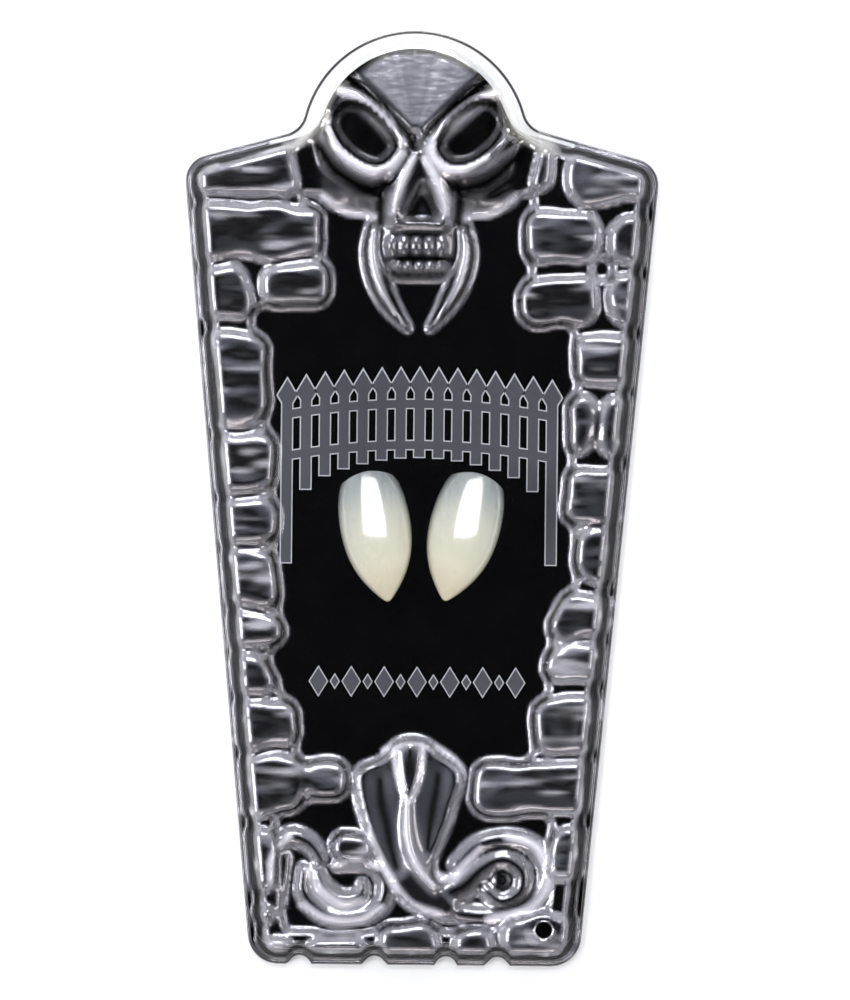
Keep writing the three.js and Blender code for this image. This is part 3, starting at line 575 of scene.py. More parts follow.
SKULL_STROKES = [
    {"rise": -1.5, "line": [(-11.6, 57.2, 1.5), (-8.2, 55.6, 1.4), (-5.2, 52.5, 1.2), (-2.1, 48.9, 0.9)]},
    {"rise": -1.5, "line": [(10.0, 56.8, 1.4), (6.6, 55.2, 1.3), (3.8, 52.4, 1.2), (0.9, 49.2, 0.9)]},
    {"rise": 1.5, "line": [(-12.6, 51.6, 1.1), (-10.6, 54.6, 1.5), (-7.2, 52.6, 1.7), (-3.2, 47.9, 1.2)]},
    {"rise": 1.5, "line": [(11.4, 51.6, 1.1), (9.4, 54.2, 1.5), (6.2, 52.6, 1.7), (1.7, 48.0, 1.2)]},
    {"rise": 1.7, "line": [(-12.8, 49.6, 1.1), (-11.0, 46.4, 1.5), (-6.6, 43.9, 1.5), (-3.2, 46.6, 1.1)]},
    {"rise": 1.7, "line": [(1.2, 46.8, 1.1), (3.0, 44.4, 1.5), (7.6, 44.9, 1.5), (11.8, 48.6, 1.1)]},
    {"rise": -0.8, "line": [(-13.6, 43.8, 0.9), (-10.0, 41.9, 1.0), (-5.6, 41.2, 0.9)]},
    {"rise": -0.8, "line": [(12.8, 43.4, 0.9), (9.0, 41.5, 1.0), (5.0, 41.1, 0.9)]},
    {"rise": -1.5, "line": [(-0.9, 47.6, 1.1), (-0.9, 48.9, 0.9)]},
    {"rise": 1.0, "line": [(-0.6, 46.4, 0.7), (-2.4, 43.0, 0.8), (-3.6, 39.2, 0.9), (-3.2, 37.0, 0.7)]},
    {"rise": 1.0, "line": [(0.2, 46.0, 0.7), (2.0, 42.8, 0.8), (3.4, 39.2, 0.9), (3.2, 37.0, 0.7)]},
    {"rise": -0.6, "line": [(-4.8, 43.0, 0.9), (-5.4, 40.0, 1.0), (-6.2, 36.6, 0.8)]},
    {"rise": -0.6, "line": [(4.6, 43.0, 0.9), (5.2, 40.0, 1.0), (5.6, 36.8, 0.8)]},
    {"rise": 0.6, "line": [(-4.4, 36.4, 0.6), (-0.2, 36.9, 0.7), (4.0, 36.4, 0.6)]},
]
NOSE = [(-2.2, 37.5), (2.4, 37.5), (0.2, 42.7)]
UPPER_TEETH = {"first": -4.1, "pitch": 1.72, "count": 5, "y": 34.0, "wide": 0.8, "long": 1.75}
LOWER_TEETH = {"first": -3.2, "pitch": 1.45, "count": 5, "y": 30.9, "wide": 0.68, "long": 1.2}
print("skull:", len(SKULL_MASSES), "masses and", len(SKULL_STROKES), "strokes")

# %% Painted shade in the creases and painted highlights on the ridges of the skull
CREASE_SHADE_LINES = [
    [(-11.6, 57.4, 1.7), (-7.9, 54.9, 1.8), (-4.6, 51.7, 1.5), (-1.5, 48.0, 1.2), (-1.0, 46.2, 0.9)],
    [(9.8, 57.0, 1.7), (6.3, 54.5, 1.7), (3.3, 51.7, 1.5), (0.5, 48.2, 1.1)],
    [(-14.3, 47.4, 1.2), (-11.4, 43.6, 1.7), (-7.0, 41.4, 1.7), (-3.3, 42.8, 1.2)],
    [(13.1, 46.4, 1.2), (9.6, 42.9, 1.7), (5.6, 41.5, 1.6), (3.2, 42.4, 1.1)],
    [(-9.6, 57.0, 1.0), (-5.0, 60.6, 1.1), (-0.6, 61.6, 1.1), (4.2, 60.6, 1.1), (8.2, 57.0, 1.0)],
    [(-5.0, 44.0, 1.0), (-5.6, 40.0, 1.1), (-5.6, 37.0, 0.9)],
    [(4.8, 43.0, 1.0), (5.2, 40.0, 1.1), (5.0, 37.0, 0.9)],
    [(-1.2, 38.2, 1.0), (0.1, 40.2, 0.9), (1.3, 38.2, 1.0)],
    [(-4.6, 32.0, 0.6), (0.0, 32.3, 0.6), (4.4, 32.0, 0.6)],
]
# Lines of painted highlight along the palest ridges of the skull.
RIDGE_HIGHLIGHT_LINES = [
    [(-10.9, 54.6, 0.9), (-8.4, 53.4, 1.2), (-5.4, 50.9, 1.5), (-2.9, 47.7, 1.1)],
    [(9.8, 54.6, 0.9), (7.6, 53.2, 1.2), (4.6, 50.9, 1.4), (1.8, 48.0, 1.3), (1.7, 45.6, 1.4),
     (4.4, 43.9, 1.3), (8.6, 45.8, 0.8)],
    [(-12.7, 51.2, 0.9), (-11.8, 47.3, 1.2), (-8.4, 44.7, 1.5), (-5.2, 43.9, 1.4), (-2.8, 46.2, 1.0)],
    [(-13.4, 40.6, 0.5), (-10.4, 38.6, 0.8), (-6.6, 37.9, 0.6)],
    [(12.6, 40.6, 0.5), (9.8, 38.6, 0.8), (6.2, 37.9, 0.6)],
    [(-1.0, 46.0, 0.6), (-2.6, 42.4, 0.8), (-3.9, 38.4, 0.7)],
    [(0.4, 45.6, 0.8), (2.2, 42.4, 1.1), (3.5, 38.4, 1.0)],
    [(-6.9, 35.6, 0.9), (-7.0, 32.0, 1.4), (-6.0, 28.0, 1.2), (-4.0, 24.8, 0.9), (-2.2, 23.0, 0.5)],
    [(6.6, 35.6, 0.9), (6.5, 32.0, 1.4), (5.4, 28.0, 1.2), (3.4, 24.8, 0.9), (1.8, 23.0, 0.5)],
]
print("lines that darken:", len(CREASE_SHADE_LINES), "and that whiten:", len(RIDGE_HIGHLIGHT_LINES))

# %% Raise the skull
TOOTH_HEIGHT = 4.6
FANG_HEIGHT = 4.3
SOCKET_DEPTH = 3.6
NOSE_DEPTH = 2.2
SKULL_LIMIT = 5.6  # from here on the height is squeezed, as a mould has only so much depth
LAST_RISE = 0.9
# painted highlight: bend on the palest ridges of the skull
RIDGE_HIGHLIGHT_SHARE = 6.0
RAYS = 45  # stops of the fine streaks that fan out over the forehead

skull = np.zeros(map_x.shape)
for mass in SKULL_MASSES:
    skull = soft_max(skull, mound(**mass), 1.2)
for row in (UPPER_TEETH, LOWER_TEETH):
    for number in range(row["count"]):
        x = row["first"] + number * row["pitch"]
        tooth = mound(x, row["y"], row["wide"], row["long"], TOOTH_HEIGHT, square=3.2)
        skull = soft_max(skull, tooth, 0.25)
for fang in SKULL_FANGS:
    skull = soft_max(skull, body(fang, FANG_HEIGHT), 0.5)
pits = max_of([mound(rise=1, square=2.3, **socket) for socket in SOCKETS])
skull -= SOCKET_DEPTH * soft_step(pits, 0, 0.75)
skull -= NOSE_DEPTH * soft_step(blur(inside(NOSE, map_x, map_y).astype(float), 0.3), 0.15, 0.9)
masses = soft_step(skull, 0.3, 2.5)
for row in SKULL_STROKES:
    skull += stroke(row["line"], row["rise"]) * masses
fan = soft_step(blur(inside(FOREHEAD, map_x, map_y).astype(float), 0.5), 0.1, 0.9)
forehead = FOREHEAD_RISE - FOREHEAD_FALL * (map_y - FOREHEAD[0][1])
skull += fan * (np.minimum(skull, forehead) - skull)
skull += masses * (1 - 0.7 * fan) * 0.06 * rough(1.3)
# Painted shade in the deep creases and in the sockets, and painted highlights along the palest ridges.
painted_crease_shade = np.maximum(painted(CREASE_SHADE_LINES), 0.62 * soft_step(pits, 0.1, 0.6))
ridge_highlights = painted(RIDGE_HIGHLIGHT_LINES)
blotches = 0.35 + 0.25 * np.clip(rough(0.9), -1, 2)
fan_angle = np.arctan2(map_x - FOREHEAD[0][0], map_y - FOREHEAD[0][1])
rays = np.interp(fan_angle, np.linspace(-1, 1, RAYS), random.random(RAYS))
haze_and_painted_highlights = max_of([haze_and_painted_highlights, (0.75 + 0.6 * rays) * fan, blotches * masses, RIDGE_HIGHLIGHT_SHARE * ridge_highlights])
carving = masses * (1 - fan)
over = np.maximum(skull - SKULL_LIMIT, 0)
skull += LAST_RISE * (1 - np.exp(-over / LAST_RISE)) - over
top = soft_max(top, WINDOW + blur(skull, 0.25), 0.5)
print("skull stands", round(float(skull.max()), 1), "mm over the window")

# %% [markdown]
# ## Snake
# A hooded snake lies at the foot, its neck running down into a loop on the right and its tail into
# two coils on the left. The coils are tubes that lie over one another, and the hood is a flat shape
# with a rounded edge and two shallow dishes.

# %% Body, hood and head of the snake
SNAKE_BODIES = [
    {"rise": 2.0, "line": [(1.5, -55.4, 1.5), (6.0, -56.0, 1.6), (11.5, -56.2, 1.6), (16.0, -54.5, 1.6),
                           (17.8, -50.8, 1.6), (16.4, -47.3, 1.6), (12.6, -45.9, 1.6), (8.4, -46.8, 1.5),
                           (5.6, -49.4, 1.3)]},
    {"rise": 2.3, "line": [(3.2, -53.4, 1.7), (6.4, -52.4, 2.2), (9.0, -49.9, 1.8), (11.9, -48.6, 1.7),
                           (14.4, -50.2, 1.6), (14.2, -53.0, 1.5), (11.6, -54.2, 1.4), (9.6, -52.8, 1.2)]},
    {"rise": 2.3, "line": [(11.6, -51.4, 1.5), (11.7, -51.5, 1.5)]},
    {"rise": 2.0, "line": [(-19.6, -55.6, 1.1), (-20.0, -52.4, 1.2), (-19.4, -48.4, 1.4),
                           (-17.0, -45.9, 1.6), (-14.4, -46.6, 1.5), (-12.6, -48.8, 1.2)]},
    {"rise": 1.7, "line": [(-17.4, -48.6, 0.9), (-17.8, -51.6, 1.1), (-18.4, -55.0, 1.2)]},
    {"rise": 2.1, "line": [(-10.6, -49.6, 1.0), (-7.8, -49.2, 1.3), (-5.0, -50.2, 1.4), (-3.9, -52.6, 1.5),
                           (-4.9, -55.2, 1.5), (-8.2, -56.6, 1.6), (-12.0, -56.2, 1.6), (-14.9, -53.4, 1.4),
                           (-15.0, -50.2, 1.1)]},
    {"rise": 2.1, "line": [(-13.2, -50.2, 0.9), (-12.2, -52.6, 1.3), (-9.8, -54.2, 1.4), (-7.2, -53.6, 1.2),
                           (-7.0, -51.9, 0.8)]},
]
HOOD = [(-8.6, -38.1), (-8.3, -36.8), (-7.2, -35.9), (-5.4, -35.4), (-3.9, -34.4), (-3.1, -32.8),
        (-0.5, -32.1), (2.0, -32.9), (3.3, -34.5), (5.0, -35.4), (6.2, -36.4), (6.6, -38.1),
        (5.3, -41.4), (4.8, -43.7), (3.4, -47.0), (2.5, -49.0), (2.8, -51.5), (4.6, -53.2),
        (6.4, -54.4), (5.6, -56.6), (3.4, -56.9), (-0.5, -55.4), (-2.8, -53.2), (-4.4, -49.8),
        (-6.4, -45.9), (-7.8, -41.4)]
HEAD = [(-0.8, -33.8, 1.7), (-0.8, -36.6, 2.0), (-0.9, -39.2, 1.3), (-1.1, -41.0, 0.5)]
SNAKE_STROKES = [
    {"rise": -0.45, "line": [(-4.9, -38.0, 2.2), (-4.6, -41.0, 2.8), (-3.8, -45.0, 2.6), (-2.4, -50.0, 1.8)]},
    {"rise": -0.45, "line": [(3.0, -37.4, 2.4), (2.6, -40.4, 2.8), (1.9, -44.0, 2.3), (1.6, -47.6, 1.3)]},
    {"rise": 1.2, "line": [(-1.1, -41.0, 0.8), (-1.1, -44.2, 1.1), (-0.6, -47.2, 1.1), (0.7, -50.0, 1.1),
                           (2.8, -52.4, 1.0)]},
    {"rise": 0.5, "line": [(-2.0, -34.0, 0.45), (-1.8, -37.0, 0.5), (-1.4, -39.6, 0.45)]},
    {"rise": 0.5, "line": [(0.4, -34.0, 0.45), (0.2, -37.0, 0.5), (-0.5, -39.6, 0.45)]},
    {"rise": -0.9, "line": [(11.6, -51.4, 1.0), (11.7, -51.5, 1.0)]},
]
print("snake:", len(SNAKE_BODIES), "tubes and", len(SNAKE_STROKES), "strokes")

# %% Raise the snake
# Lines of painted highlight along the snake's ridges.
SNAKE_RIDGE_HIGHLIGHT_LINES = [
    [(-3.0, -33.3, 0.6), (-2.7, -36.4, 0.6), (-1.9, -39.4, 0.6), (-1.1, -41.4, 0.5)],
    [(0.9, -33.3, 0.6), (0.8, -36.4, 0.6), (0.0, -39.4, 0.6), (-1.0, -41.4, 0.5)],
    [(-4.2, -34.2, 0.8), (-0.9, -32.6, 0.8), (3.2, -34.0, 0.8), (5.8, -36.2, 0.8), (6.2, -38.0, 0.6)],
    [(-1.1, -41.0, 0.6), (-1.2, -44.2, 0.8), (-0.8, -47.2, 0.8), (0.5, -50.0, 0.8), (2.6, -52.2, 0.7)],
    [(-8.2, -37.6, 0.7), (-7.6, -41.6, 0.9), (-6.0, -46.0, 0.9), (-3.8, -50.4, 0.9), (-1.0, -54.6, 1.0),
     (3.4, -56.2, 0.9)],
    [(2.8, -50.8, 0.8), (4.8, -51.2, 0.9), (6.8, -49.2, 0.8), (8.8, -47.2, 0.7)],
    [(12.4, -45.5, 0.9), (16.4, -47.0, 1.1), (18.0, -51.0, 1.1), (16.0, -55.0, 1.0), (10.0, -56.8, 0.9)],
    [(-14.4, -50.2, 0.8), (-12.8, -53.0, 1.1), (-9.8, -54.9, 1.2), (-7.0, -54.4, 0.8)],
    [(-11.0, -49.8, 0.6), (-7.8, -48.9, 0.7), (-4.8, -50.0, 0.6)],
    [(-15.2, -55.0, 0.8), (-12.0, -56.8, 0.9), (-7.6, -57.0, 0.9), (-4.4, -55.2, 0.7)],
    [(-19.4, -52.6, 0.7), (-19.2, -48.6, 0.8), (-17.0, -45.8, 0.8)],
]
HOOD_HEIGHT = 2.6
HEAD_HEIGHT = 3.3
COIL_HAZE = 0.3
HOOD_HAZE = 0.9
# painted highlight: bend on the snake's ridges
SNAKE_RIDGE_HIGHLIGHT_SHARE = 5.5

snake = np.zeros(map_x.shape)
for row in SNAKE_BODIES:
    snake = soft_max(snake, body(row["line"], row["rise"]), 0.4)
hood = rounded_edge(blur(inside(HOOD, map_x, map_y).astype(float), 0.6), 0.3, 0.98)
snake = soft_max(snake, HOOD_HEIGHT * hood, 0.5)
snake = soft_max(snake, body(HEAD, HEAD_HEIGHT), 0.6)
masses = soft_step(snake, 0.3, 2.0)
for row in SNAKE_STROKES:
    snake += stroke(row["line"], row["rise"]) * masses
snake += masses * 0.05 * rough(1.3)
# Painted highlights along the snake's ridges lift the haze map and whiten the sheet.
ridge_highlights = np.maximum(ridge_highlights, painted(SNAKE_RIDGE_HIGHLIGHT_LINES))
haze_and_painted_highlights = max_of([haze_and_painted_highlights, COIL_HAZE * masses, HOOD_HAZE * hood, SNAKE_RIDGE_HIGHLIGHT_SHARE * ridge_highlights])
carving = np.maximum(carving, 0.6 * masses)
top = soft_max(top, WINDOW + blur(snake, 0.28), 0.5)
print("snake stands", round(float(snake.max()), 1), "mm over the window")

# %% [markdown]
# ## Side walls
# Along the outline the sheet stands up from a narrow flange. Each column of the wall is a profile:
# flange, foot, leaning wall and a quarter round onto the top. A joint between two stones steps in,
# and the foot edge has a notch at each joint.

# %% Flat ring round the vent
VENT = {"x": 17.4, "y": -58.0, "radius": 1.1}

from_vent = np.hypot(map_x - VENT["x"], map_y - VENT["y"])
top += (BLOCK - 0.2 - top) * soft_step(2.9 - from_vent, 0, 1.2)
# A painted highlight: the ring at the rim of the vent hole gets the full bend.
haze_and_painted_highlights = np.maximum(haze_and_painted_highlights, from_vent < VENT["radius"] + 0.3)
print("vent radius, mm:", VENT["radius"])

# %% Wall profiles
RIM = 1.6
LEDGE = 0.6
JOINT_DEPTH = 0.5
LEAN = math.tan(math.radians(8))
NOTCHES = [-15.6, -5.4, 4.3, 11.3]
NOTCH_RADIUS = 1.6
NOTCH_DEPTH = 1.2


def read_map(field, x, y):
    """A map's value between its grid points."""
    gx = np.clip((x - grid_x[0]) / PITCH, 0, len(grid_x) - 1.001)
    gy = np.clip((y - grid_y[0]) / PITCH, 0, len(grid_y) - 1.001)
    i, j = gx.astype(int), gy.astype(int)
    a, b = gx - i, gy - j
    lower = field[j, i] * (1 - a) + field[j, i + 1] * a
    upper = field[j + 1, i] * (1 - a) + field[j + 1, i + 1] * a
    return lower * (1 - b) + upper * b


inner = edge + inward * WALL_ZONE
wall_top = read_map(top, *inner.T)
jointed = 1 - read_map(stone_share, *(edge + inward * (WALL_ZONE + 0.3)).T)
on_dome = soft_step(edge[:, 1], SHOULDER_Y + 3, SHOULDER_Y + 5) * (np.abs(edge[:, 0]) < DOME_RADIUS + 4)
at_foot = edge[:, 1] < -HALF_LENGTH + 0.1
notch = np.zeros(columns)
for x in NOTCHES:
    bite = np.sqrt((NOTCH_RADIUS**2 - (edge[:, 0] - x) ** 2).clip(0)) - NOTCH_RADIUS + NOTCH_DEPTH
    notch = np.maximum(notch, bite.clip(0) * at_foot)
foot = LEDGE + np.maximum(jointed * (1 - on_dome) * JOINT_DEPTH, notch)

rows = [(notch, 0 * foot), (notch, 0 * foot + RIM - 0.25), (notch + 0.08, 0 * foot + RIM - 0.07)]
rows += [(notch + 0.25, 0 * foot + RIM), (foot - 0.2, 0 * foot + RIM), (foot - 0.05, 0 * foot + RIM + 0.06)]
round_off = np.minimum(1.5, (wall_top - RIM) / 2)
for share in np.linspace(0, 1, 6):
    z = RIM + 0.2 + share * (wall_top - round_off - RIM - 0.2)
    rows.append((foot + (z - RIM) * LEAN, z))
shoulder = rows[-1][0]
for angle in np.linspace(0, math.pi / 2, 7)[1:]:
    across = WALL_ZONE - (WALL_ZONE - shoulder) * math.cos(angle)
    rows.append((across, wall_top - round_off * (1 - math.sin(angle))))
wall_points = [np.column_stack([edge + inward * d[:, None], z]) for d, z in rows]
print("wall:", len(rows), "rows of", columns)

# %% [markdown]
# ## One skin for the cover
# Inside the walls the plan is filled with triangles: many where the sheet is carved, few in the flat
# window. A constrained Delaunay triangulation joins them to the walls' last row without a seam, and
# keeps the rim of the vent hole round. Solidify later gives the skin its thickness.

# %% Cover mesh
FINE = 0.44
COARSE_EVERY = 8
SHEET = 0.35
VENT_SIDES = 32

fine_x = np.arange(-33, 33, FINE)
fine_y = np.arange(-64, 64, FINE * 0.9)
plan_x, plan_y = np.meshgrid(fine_x, fine_y)
plan_x[1::2] += FINE / 2
carved = blur((np.abs(top - WINDOW) > 0.02).astype(float), 0.8) > 0.02
deep = read_map(inset, plan_x, plan_y) > WALL_ZONE + 0.25
busy = read_map(carved.astype(float), plan_x, plan_y) > 0.3
sparse = np.zeros(plan_x.shape, bool)
sparse[::COARSE_EVERY, ::COARSE_EVERY] = True
clear_of_vent = np.hypot(plan_x - VENT["x"], plan_y - VENT["y"]) > VENT["radius"] + 0.25
keep = deep & clear_of_vent & (busy | sparse)
fill = np.column_stack([plan_x[keep], plan_y[keep]])
angle = np.linspace(0, 2 * math.pi, VENT_SIDES + 1)[:-1]
vent_ring = np.column_stack([np.cos(angle), np.sin(angle)]) * VENT["radius"] + (VENT["x"], VENT["y"])
plan = np.vstack([inner, vent_ring, fill])
ring_edges = [(i, (i + 1) % columns) for i in range(columns)]
vent_edges = [(columns + i, columns + (i + 1) % VENT_SIDES) for i in range(VENT_SIDES)]
flat_points, _, triangles, _, _, _ = delaunay_2d_cdt(
    [Vector(p) for p in plan.tolist()], ring_edges + vent_edges, [], 1, 1e-7
)
flat_points = np.array([tuple(p) for p in flat_points])
triangles = np.array([t for t in triangles if len(t) == 3])
middle = flat_points[triangles].mean(axis=1)
triangles = triangles[np.hypot(middle[:, 0] - VENT["x"], middle[:, 1] - VENT["y"]) > VENT["radius"]]
top_points = np.column_stack([flat_points, read_map(top, *flat_points.T)])
print("fill:", len(fill), "points,", len(triangles), "triangles, first ring kept:",
      bool(np.allclose(flat_points[:columns], inner)))

# %% Join the walls to the top
wall_rows = len(wall_points) - 1
points = np.vstack([*wall_points[:-1], top_points])
corner = np.arange(columns)
following = (corner + 1) % columns
faces = []
for row in range(wall_rows):
    a, b = row * columns, (row + 1) * columns
    faces += np.column_stack([a + corner, a + following, b + following, b + corner]).tolist()
faces += (triangles + wall_rows * columns).tolist()
skin = make_piece("cover_skin", points, faces)
print("skin:", len(points), "points and", len(faces), "faces")

# %% [markdown]
# ## How the sheet shines, spot by spot
# The three attributes of the clear sheet are worked out from the skin itself. A slope of 5 to 52
# degrees counts as a bend, flat and upright parts don't, and the maps made so far are laid over that:
# haze and painted highlights lift the share, painted shade on the carving lowers it, and painted shade
# in the creases takes it away. The walls and the flange get painted shade too, but the flange at the
# foot isn't shaded. Painted glints run in broken dashes along the top of the walls, where the real
# sheet has small chips of light.

# %% Bend, gleam and milk
WALL_SHADE = 0.36  # painted shade taken off the bend of the walls and the flange, where dark card shows through
CARVING_SHADE = 0.55  # the same for the slopes of the skull and the snake
STONE_EDGES = 1.35  # bend on a full slope, such as the edge of a stone
CREASE_SHADE = -0.27  # painted shade: bend in a deep crease or a socket, where the sheet mirrors nothing
FLAT_ROWS = 6  # rows of a wall profile that make the flange and its foot
DASHES = slice(11, 14)  # rows of a wall profile that carry the dashes
DASH_EVERY = 4  # columns
# painted glints: bend added in the dashes
DASH_GLINT_BEND = 3.2
BEND_IN, BEND_OUT = (5, 36), (52, 76)  # degrees of slope over which a bend comes in and goes out
HAZE_OUT = (38, 64)
UPRIGHT = (60, 78)
MILK_IN, MILK_OUT = (14, 34), (50, 70)
MILKY = {"slopes": 0.55, "ridge_highlights": 0.9, "tool marks": 0.7}

normals = np.zeros(len(skin.data.vertices) * 3)
skin.data.vertices.foreach_get("normal", normals)
rise = normals.reshape(-1, 3)[:, 2]
slope = np.degrees(np.arccos(np.clip(rise, -1, 1)))
share = soft_step(slope, *BEND_IN) * (1 - 0.85 * soft_step(slope, *BEND_OUT))
places = points[:, :2]
share *= STONE_EDGES * (1 - CARVING_SHADE * read_map(carving, *places.T))
share = np.maximum(share, read_map(haze_and_painted_highlights, *places.T) * (1 - soft_step(slope, *HAZE_OUT)))
# Painted shade on the upright walls and on the flange, except at the foot.
share -= WALL_SHADE * soft_step(slope, *UPRIGHT)
share[: FLAT_ROWS * columns] -= np.tile(WALL_SHADE * (1 - at_foot), FLAT_ROWS)
# Painted glints in broken dashes along the top of the walls.
dash_columns = np.arange(0, columns, DASH_EVERY)
glint_dashes = np.interp(np.arange(columns), dash_columns, random.random(len(dash_columns)))
dashed_rows = DASHES.stop - DASHES.start
share[DASHES.start * columns : DASHES.stop * columns] += np.tile(DASH_GLINT_BEND * glint_dashes**5, dashed_rows)
# Painted shade: in the creases and sockets the mirror's share is taken away, so the black card shows.
in_painted_crease_shade = read_map(painted_crease_shade * (1 - ridge_highlights), *places.T)
share += in_painted_crease_shade * (CREASE_SHADE - share)
beside_dome = np.concatenate([np.tile(on_dome, wall_rows + 1), np.zeros(len(top_points) - columns)])
whitening_and_ridge_highlights = MILKY["slopes"] * soft_step(slope, *MILK_IN) * (1 - soft_step(slope, *MILK_OUT))
# painted highlight: the ridges turn milky white
whitening_and_ridge_highlights = np.maximum(whitening_and_ridge_highlights, MILKY["ridge_highlights"] * read_map(ridge_highlights, *places.T))
whitening_and_ridge_highlights = np.maximum(whitening_and_ridge_highlights, MILKY["tool marks"] * read_map(stone_share * streaks, *places.T))
for name, values in {"bend": share, "gleam": beside_dome, "milk": whitening_and_ridge_highlights}.items():
    attribute = skin.data.attributes.new(name, "FLOAT", "POINT")
    attribute.data.foreach_set("value", values.astype(np.float32))
print("bend from", round(float(share.min()), 2), "to", round(float(share.max()), 2))

# %% Thicken the skin
thicken = skin.modifiers.new("thicken", "SOLIDIFY")
thicken.thickness = SHEET * MM
thicken.offset = -1
thicken.material_offset_rim = 1
skin.data.materials.append(clear_sheet)
skin.data.materials.append(dark_cut_edge)


def finished(piece, name, replaces=()):
    """The evaluated mesh of a piece as a plain object, ready to ride on the pack."""
    evaluated = piece.evaluated_get(bpy.context.evaluated_depsgraph_get())
    mesh = bpy.data.meshes.new_from_object(evaluated)
    mesh.name = name
    bpy.data.objects.remove(piece)
    done = bpy.data.objects.new(name, mesh)
    bpy.context.scene.collection.objects.link(done)
    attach(done, "root")
    if replaces:
        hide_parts(*replaces)
    print(name, "faces:", len(mesh.polygons))
    return done


formed_cover = finished(skin, "formed_cover", ["pack_cover"])

# %% [markdown]
# ## Fang caps
# A cap is a hollow oval shell with an arched gum edge and a point. Its sections are the same as the
# solid's, with a smooth curve run through them, so that the light slides along it without facets. An
# attribute named along, 0 at the gum and 1 at the tip, carries the colour change.

# %% Cap sizes
CAP_LENGTH = 17.8
CAP_WIDTH = 9.6
CAP_DEPTH = 7.3
CAP_WALL = 0.6
CAP_HOLLOW = 0.62
GUM_ARCH = 1.1
CAP_LIFT = 1.0  # the back of a cap over the resting surface
CAP_SIDES = 72
CAP_SQUARE = 2.4  # 2 makes a section an oval, more makes it squarer
# Columns: along the length, width, depth and lift of the back, as shares of the cap's sizes
CAP_SECTIONS = [
    (0.00, 0.77, 0.95, 0.00),
    (0.07, 0.86, 0.98, 0.00),
    (0.18, 0.94, 1.00, 0.00),
    (0.30, 0.985, 1.00, 0.00),
    (0.43, 1.00, 0.96, 0.00),
    (0.56, 0.955, 0.87, 0.01),
    (0.68, 0.845, 0.73, 0.03),
    (0.79, 0.665, 0.55, 0.07),
    (0.88, 0.45, 0.37, 0.12),
    (0.95, 0.24, 0.20, 0.17),
    (0.99, 0.09, 0.08, 0.215),
    (1.00, 0.015, 0.015, 0.23),
]
CAPS = [
    {"name": "left_fang", "node": "fang_cap_left", "u": -0.25, "v": 0.054, "turn": 10.1},
    {"name": "right_fang", "node": "fang_cap_right", "u": 0.285, "v": 0.052, "turn": -14.5},
]
print("caps:", [cap["name"] for cap in CAPS])


# %% Cap shells
def cap_ring(section, inset):
    """One section of a cap, a squarish oval, as points in the cap's own place."""
    along, wide, deep, back = section
    angle = np.linspace(0, 2 * math.pi, CAP_SIDES + 1)[:-1]
    x = np.sign(np.cos(angle)) * np.abs(np.cos(angle)) ** (2 / CAP_SQUARE)
    z = np.sign(np.sin(angle)) * np.abs(np.sin(angle)) ** (2 / CAP_SQUARE)
    half_x = max(wide * CAP_WIDTH / 2 - inset, 0.02)
    half_z = max(deep * CAP_DEPTH / 2 - inset, 0.02)
    drop = GUM_ARCH * x**2 * max(0.0, 1 - 3 * along)
    middle = back * CAP_DEPTH + deep * CAP_DEPTH / 2
    return np.column_stack([half_x * x, -along * CAP_LENGTH - drop, middle + half_z * z])


def cap_shell(cap, ivory):
    """One cap: the outside from tip to gum, round the lip, and up the inside of the hollow."""
    sections = rounded_line(CAP_SECTIONS, 5)
    outer = [cap_ring(row, 0) for row in sections]
    lip = [cap_ring(sections[0], inset) for inset in (0.12, 0.35, CAP_WALL)]
    lip[0][:, 1] += 0.1
    lip[1][:, 1] += 0.12
    hollow_rows = [row for row in sections if 0 < row[0] < CAP_HOLLOW]
    rings = outer[::-1] + lip + [cap_ring(row, CAP_WALL) for row in hollow_rows]
    alongs = [row[0] for row in sections[::-1]] + [0] * 3 + [row[0] for row in hollow_rows]
    points = np.vstack(rings)
    side = np.arange(CAP_SIDES)
    after = (side + 1) % CAP_SIDES
    faces = []
    for row in range(len(rings) - 1):
        a, b = row * CAP_SIDES, (row + 1) * CAP_SIDES
        faces += np.column_stack([a + side, b + side, b + after, a + after]).tolist()
    faces.append(side.tolist())
    faces.append((side[::-1] + (len(rings) - 1) * CAP_SIDES).tolist())
    turn = math.radians(cap["turn"])
    y = cap["v"] * HALF_LENGTH
    x = cap["u"] * half_width(y)
    turned_x = points[:, 0] * math.cos(turn) - points[:, 1] * math.sin(turn) + x
    turned_y = points[:, 0] * math.sin(turn) + points[:, 1] * math.cos(turn) + y
    placed = np.column_stack([turned_x, turned_y, points[:, 2] + CAP_LIFT])
    shell = make_piece(cap["name"] + "_shell", placed, faces)
    along = shell.data.attributes.new("along", "FLOAT", "POINT")
    along.data.foreach_set("value", np.repeat(alongs, CAP_SIDES).astype(np.float32))
    shell.data.materials.append(ivory)
    return finished(shell, cap["name"], [cap["node"]])


print("a cap has", CAP_SIDES, "sides")

# %% [markdown]
# ## Tooth-coloured resin
# A good cap isn't one colour. It is cool and a little see-through at the gum edge, creamy in the
# middle and warmer at the tip, under a hard polish. A faint mottle keeps it from looking painted.

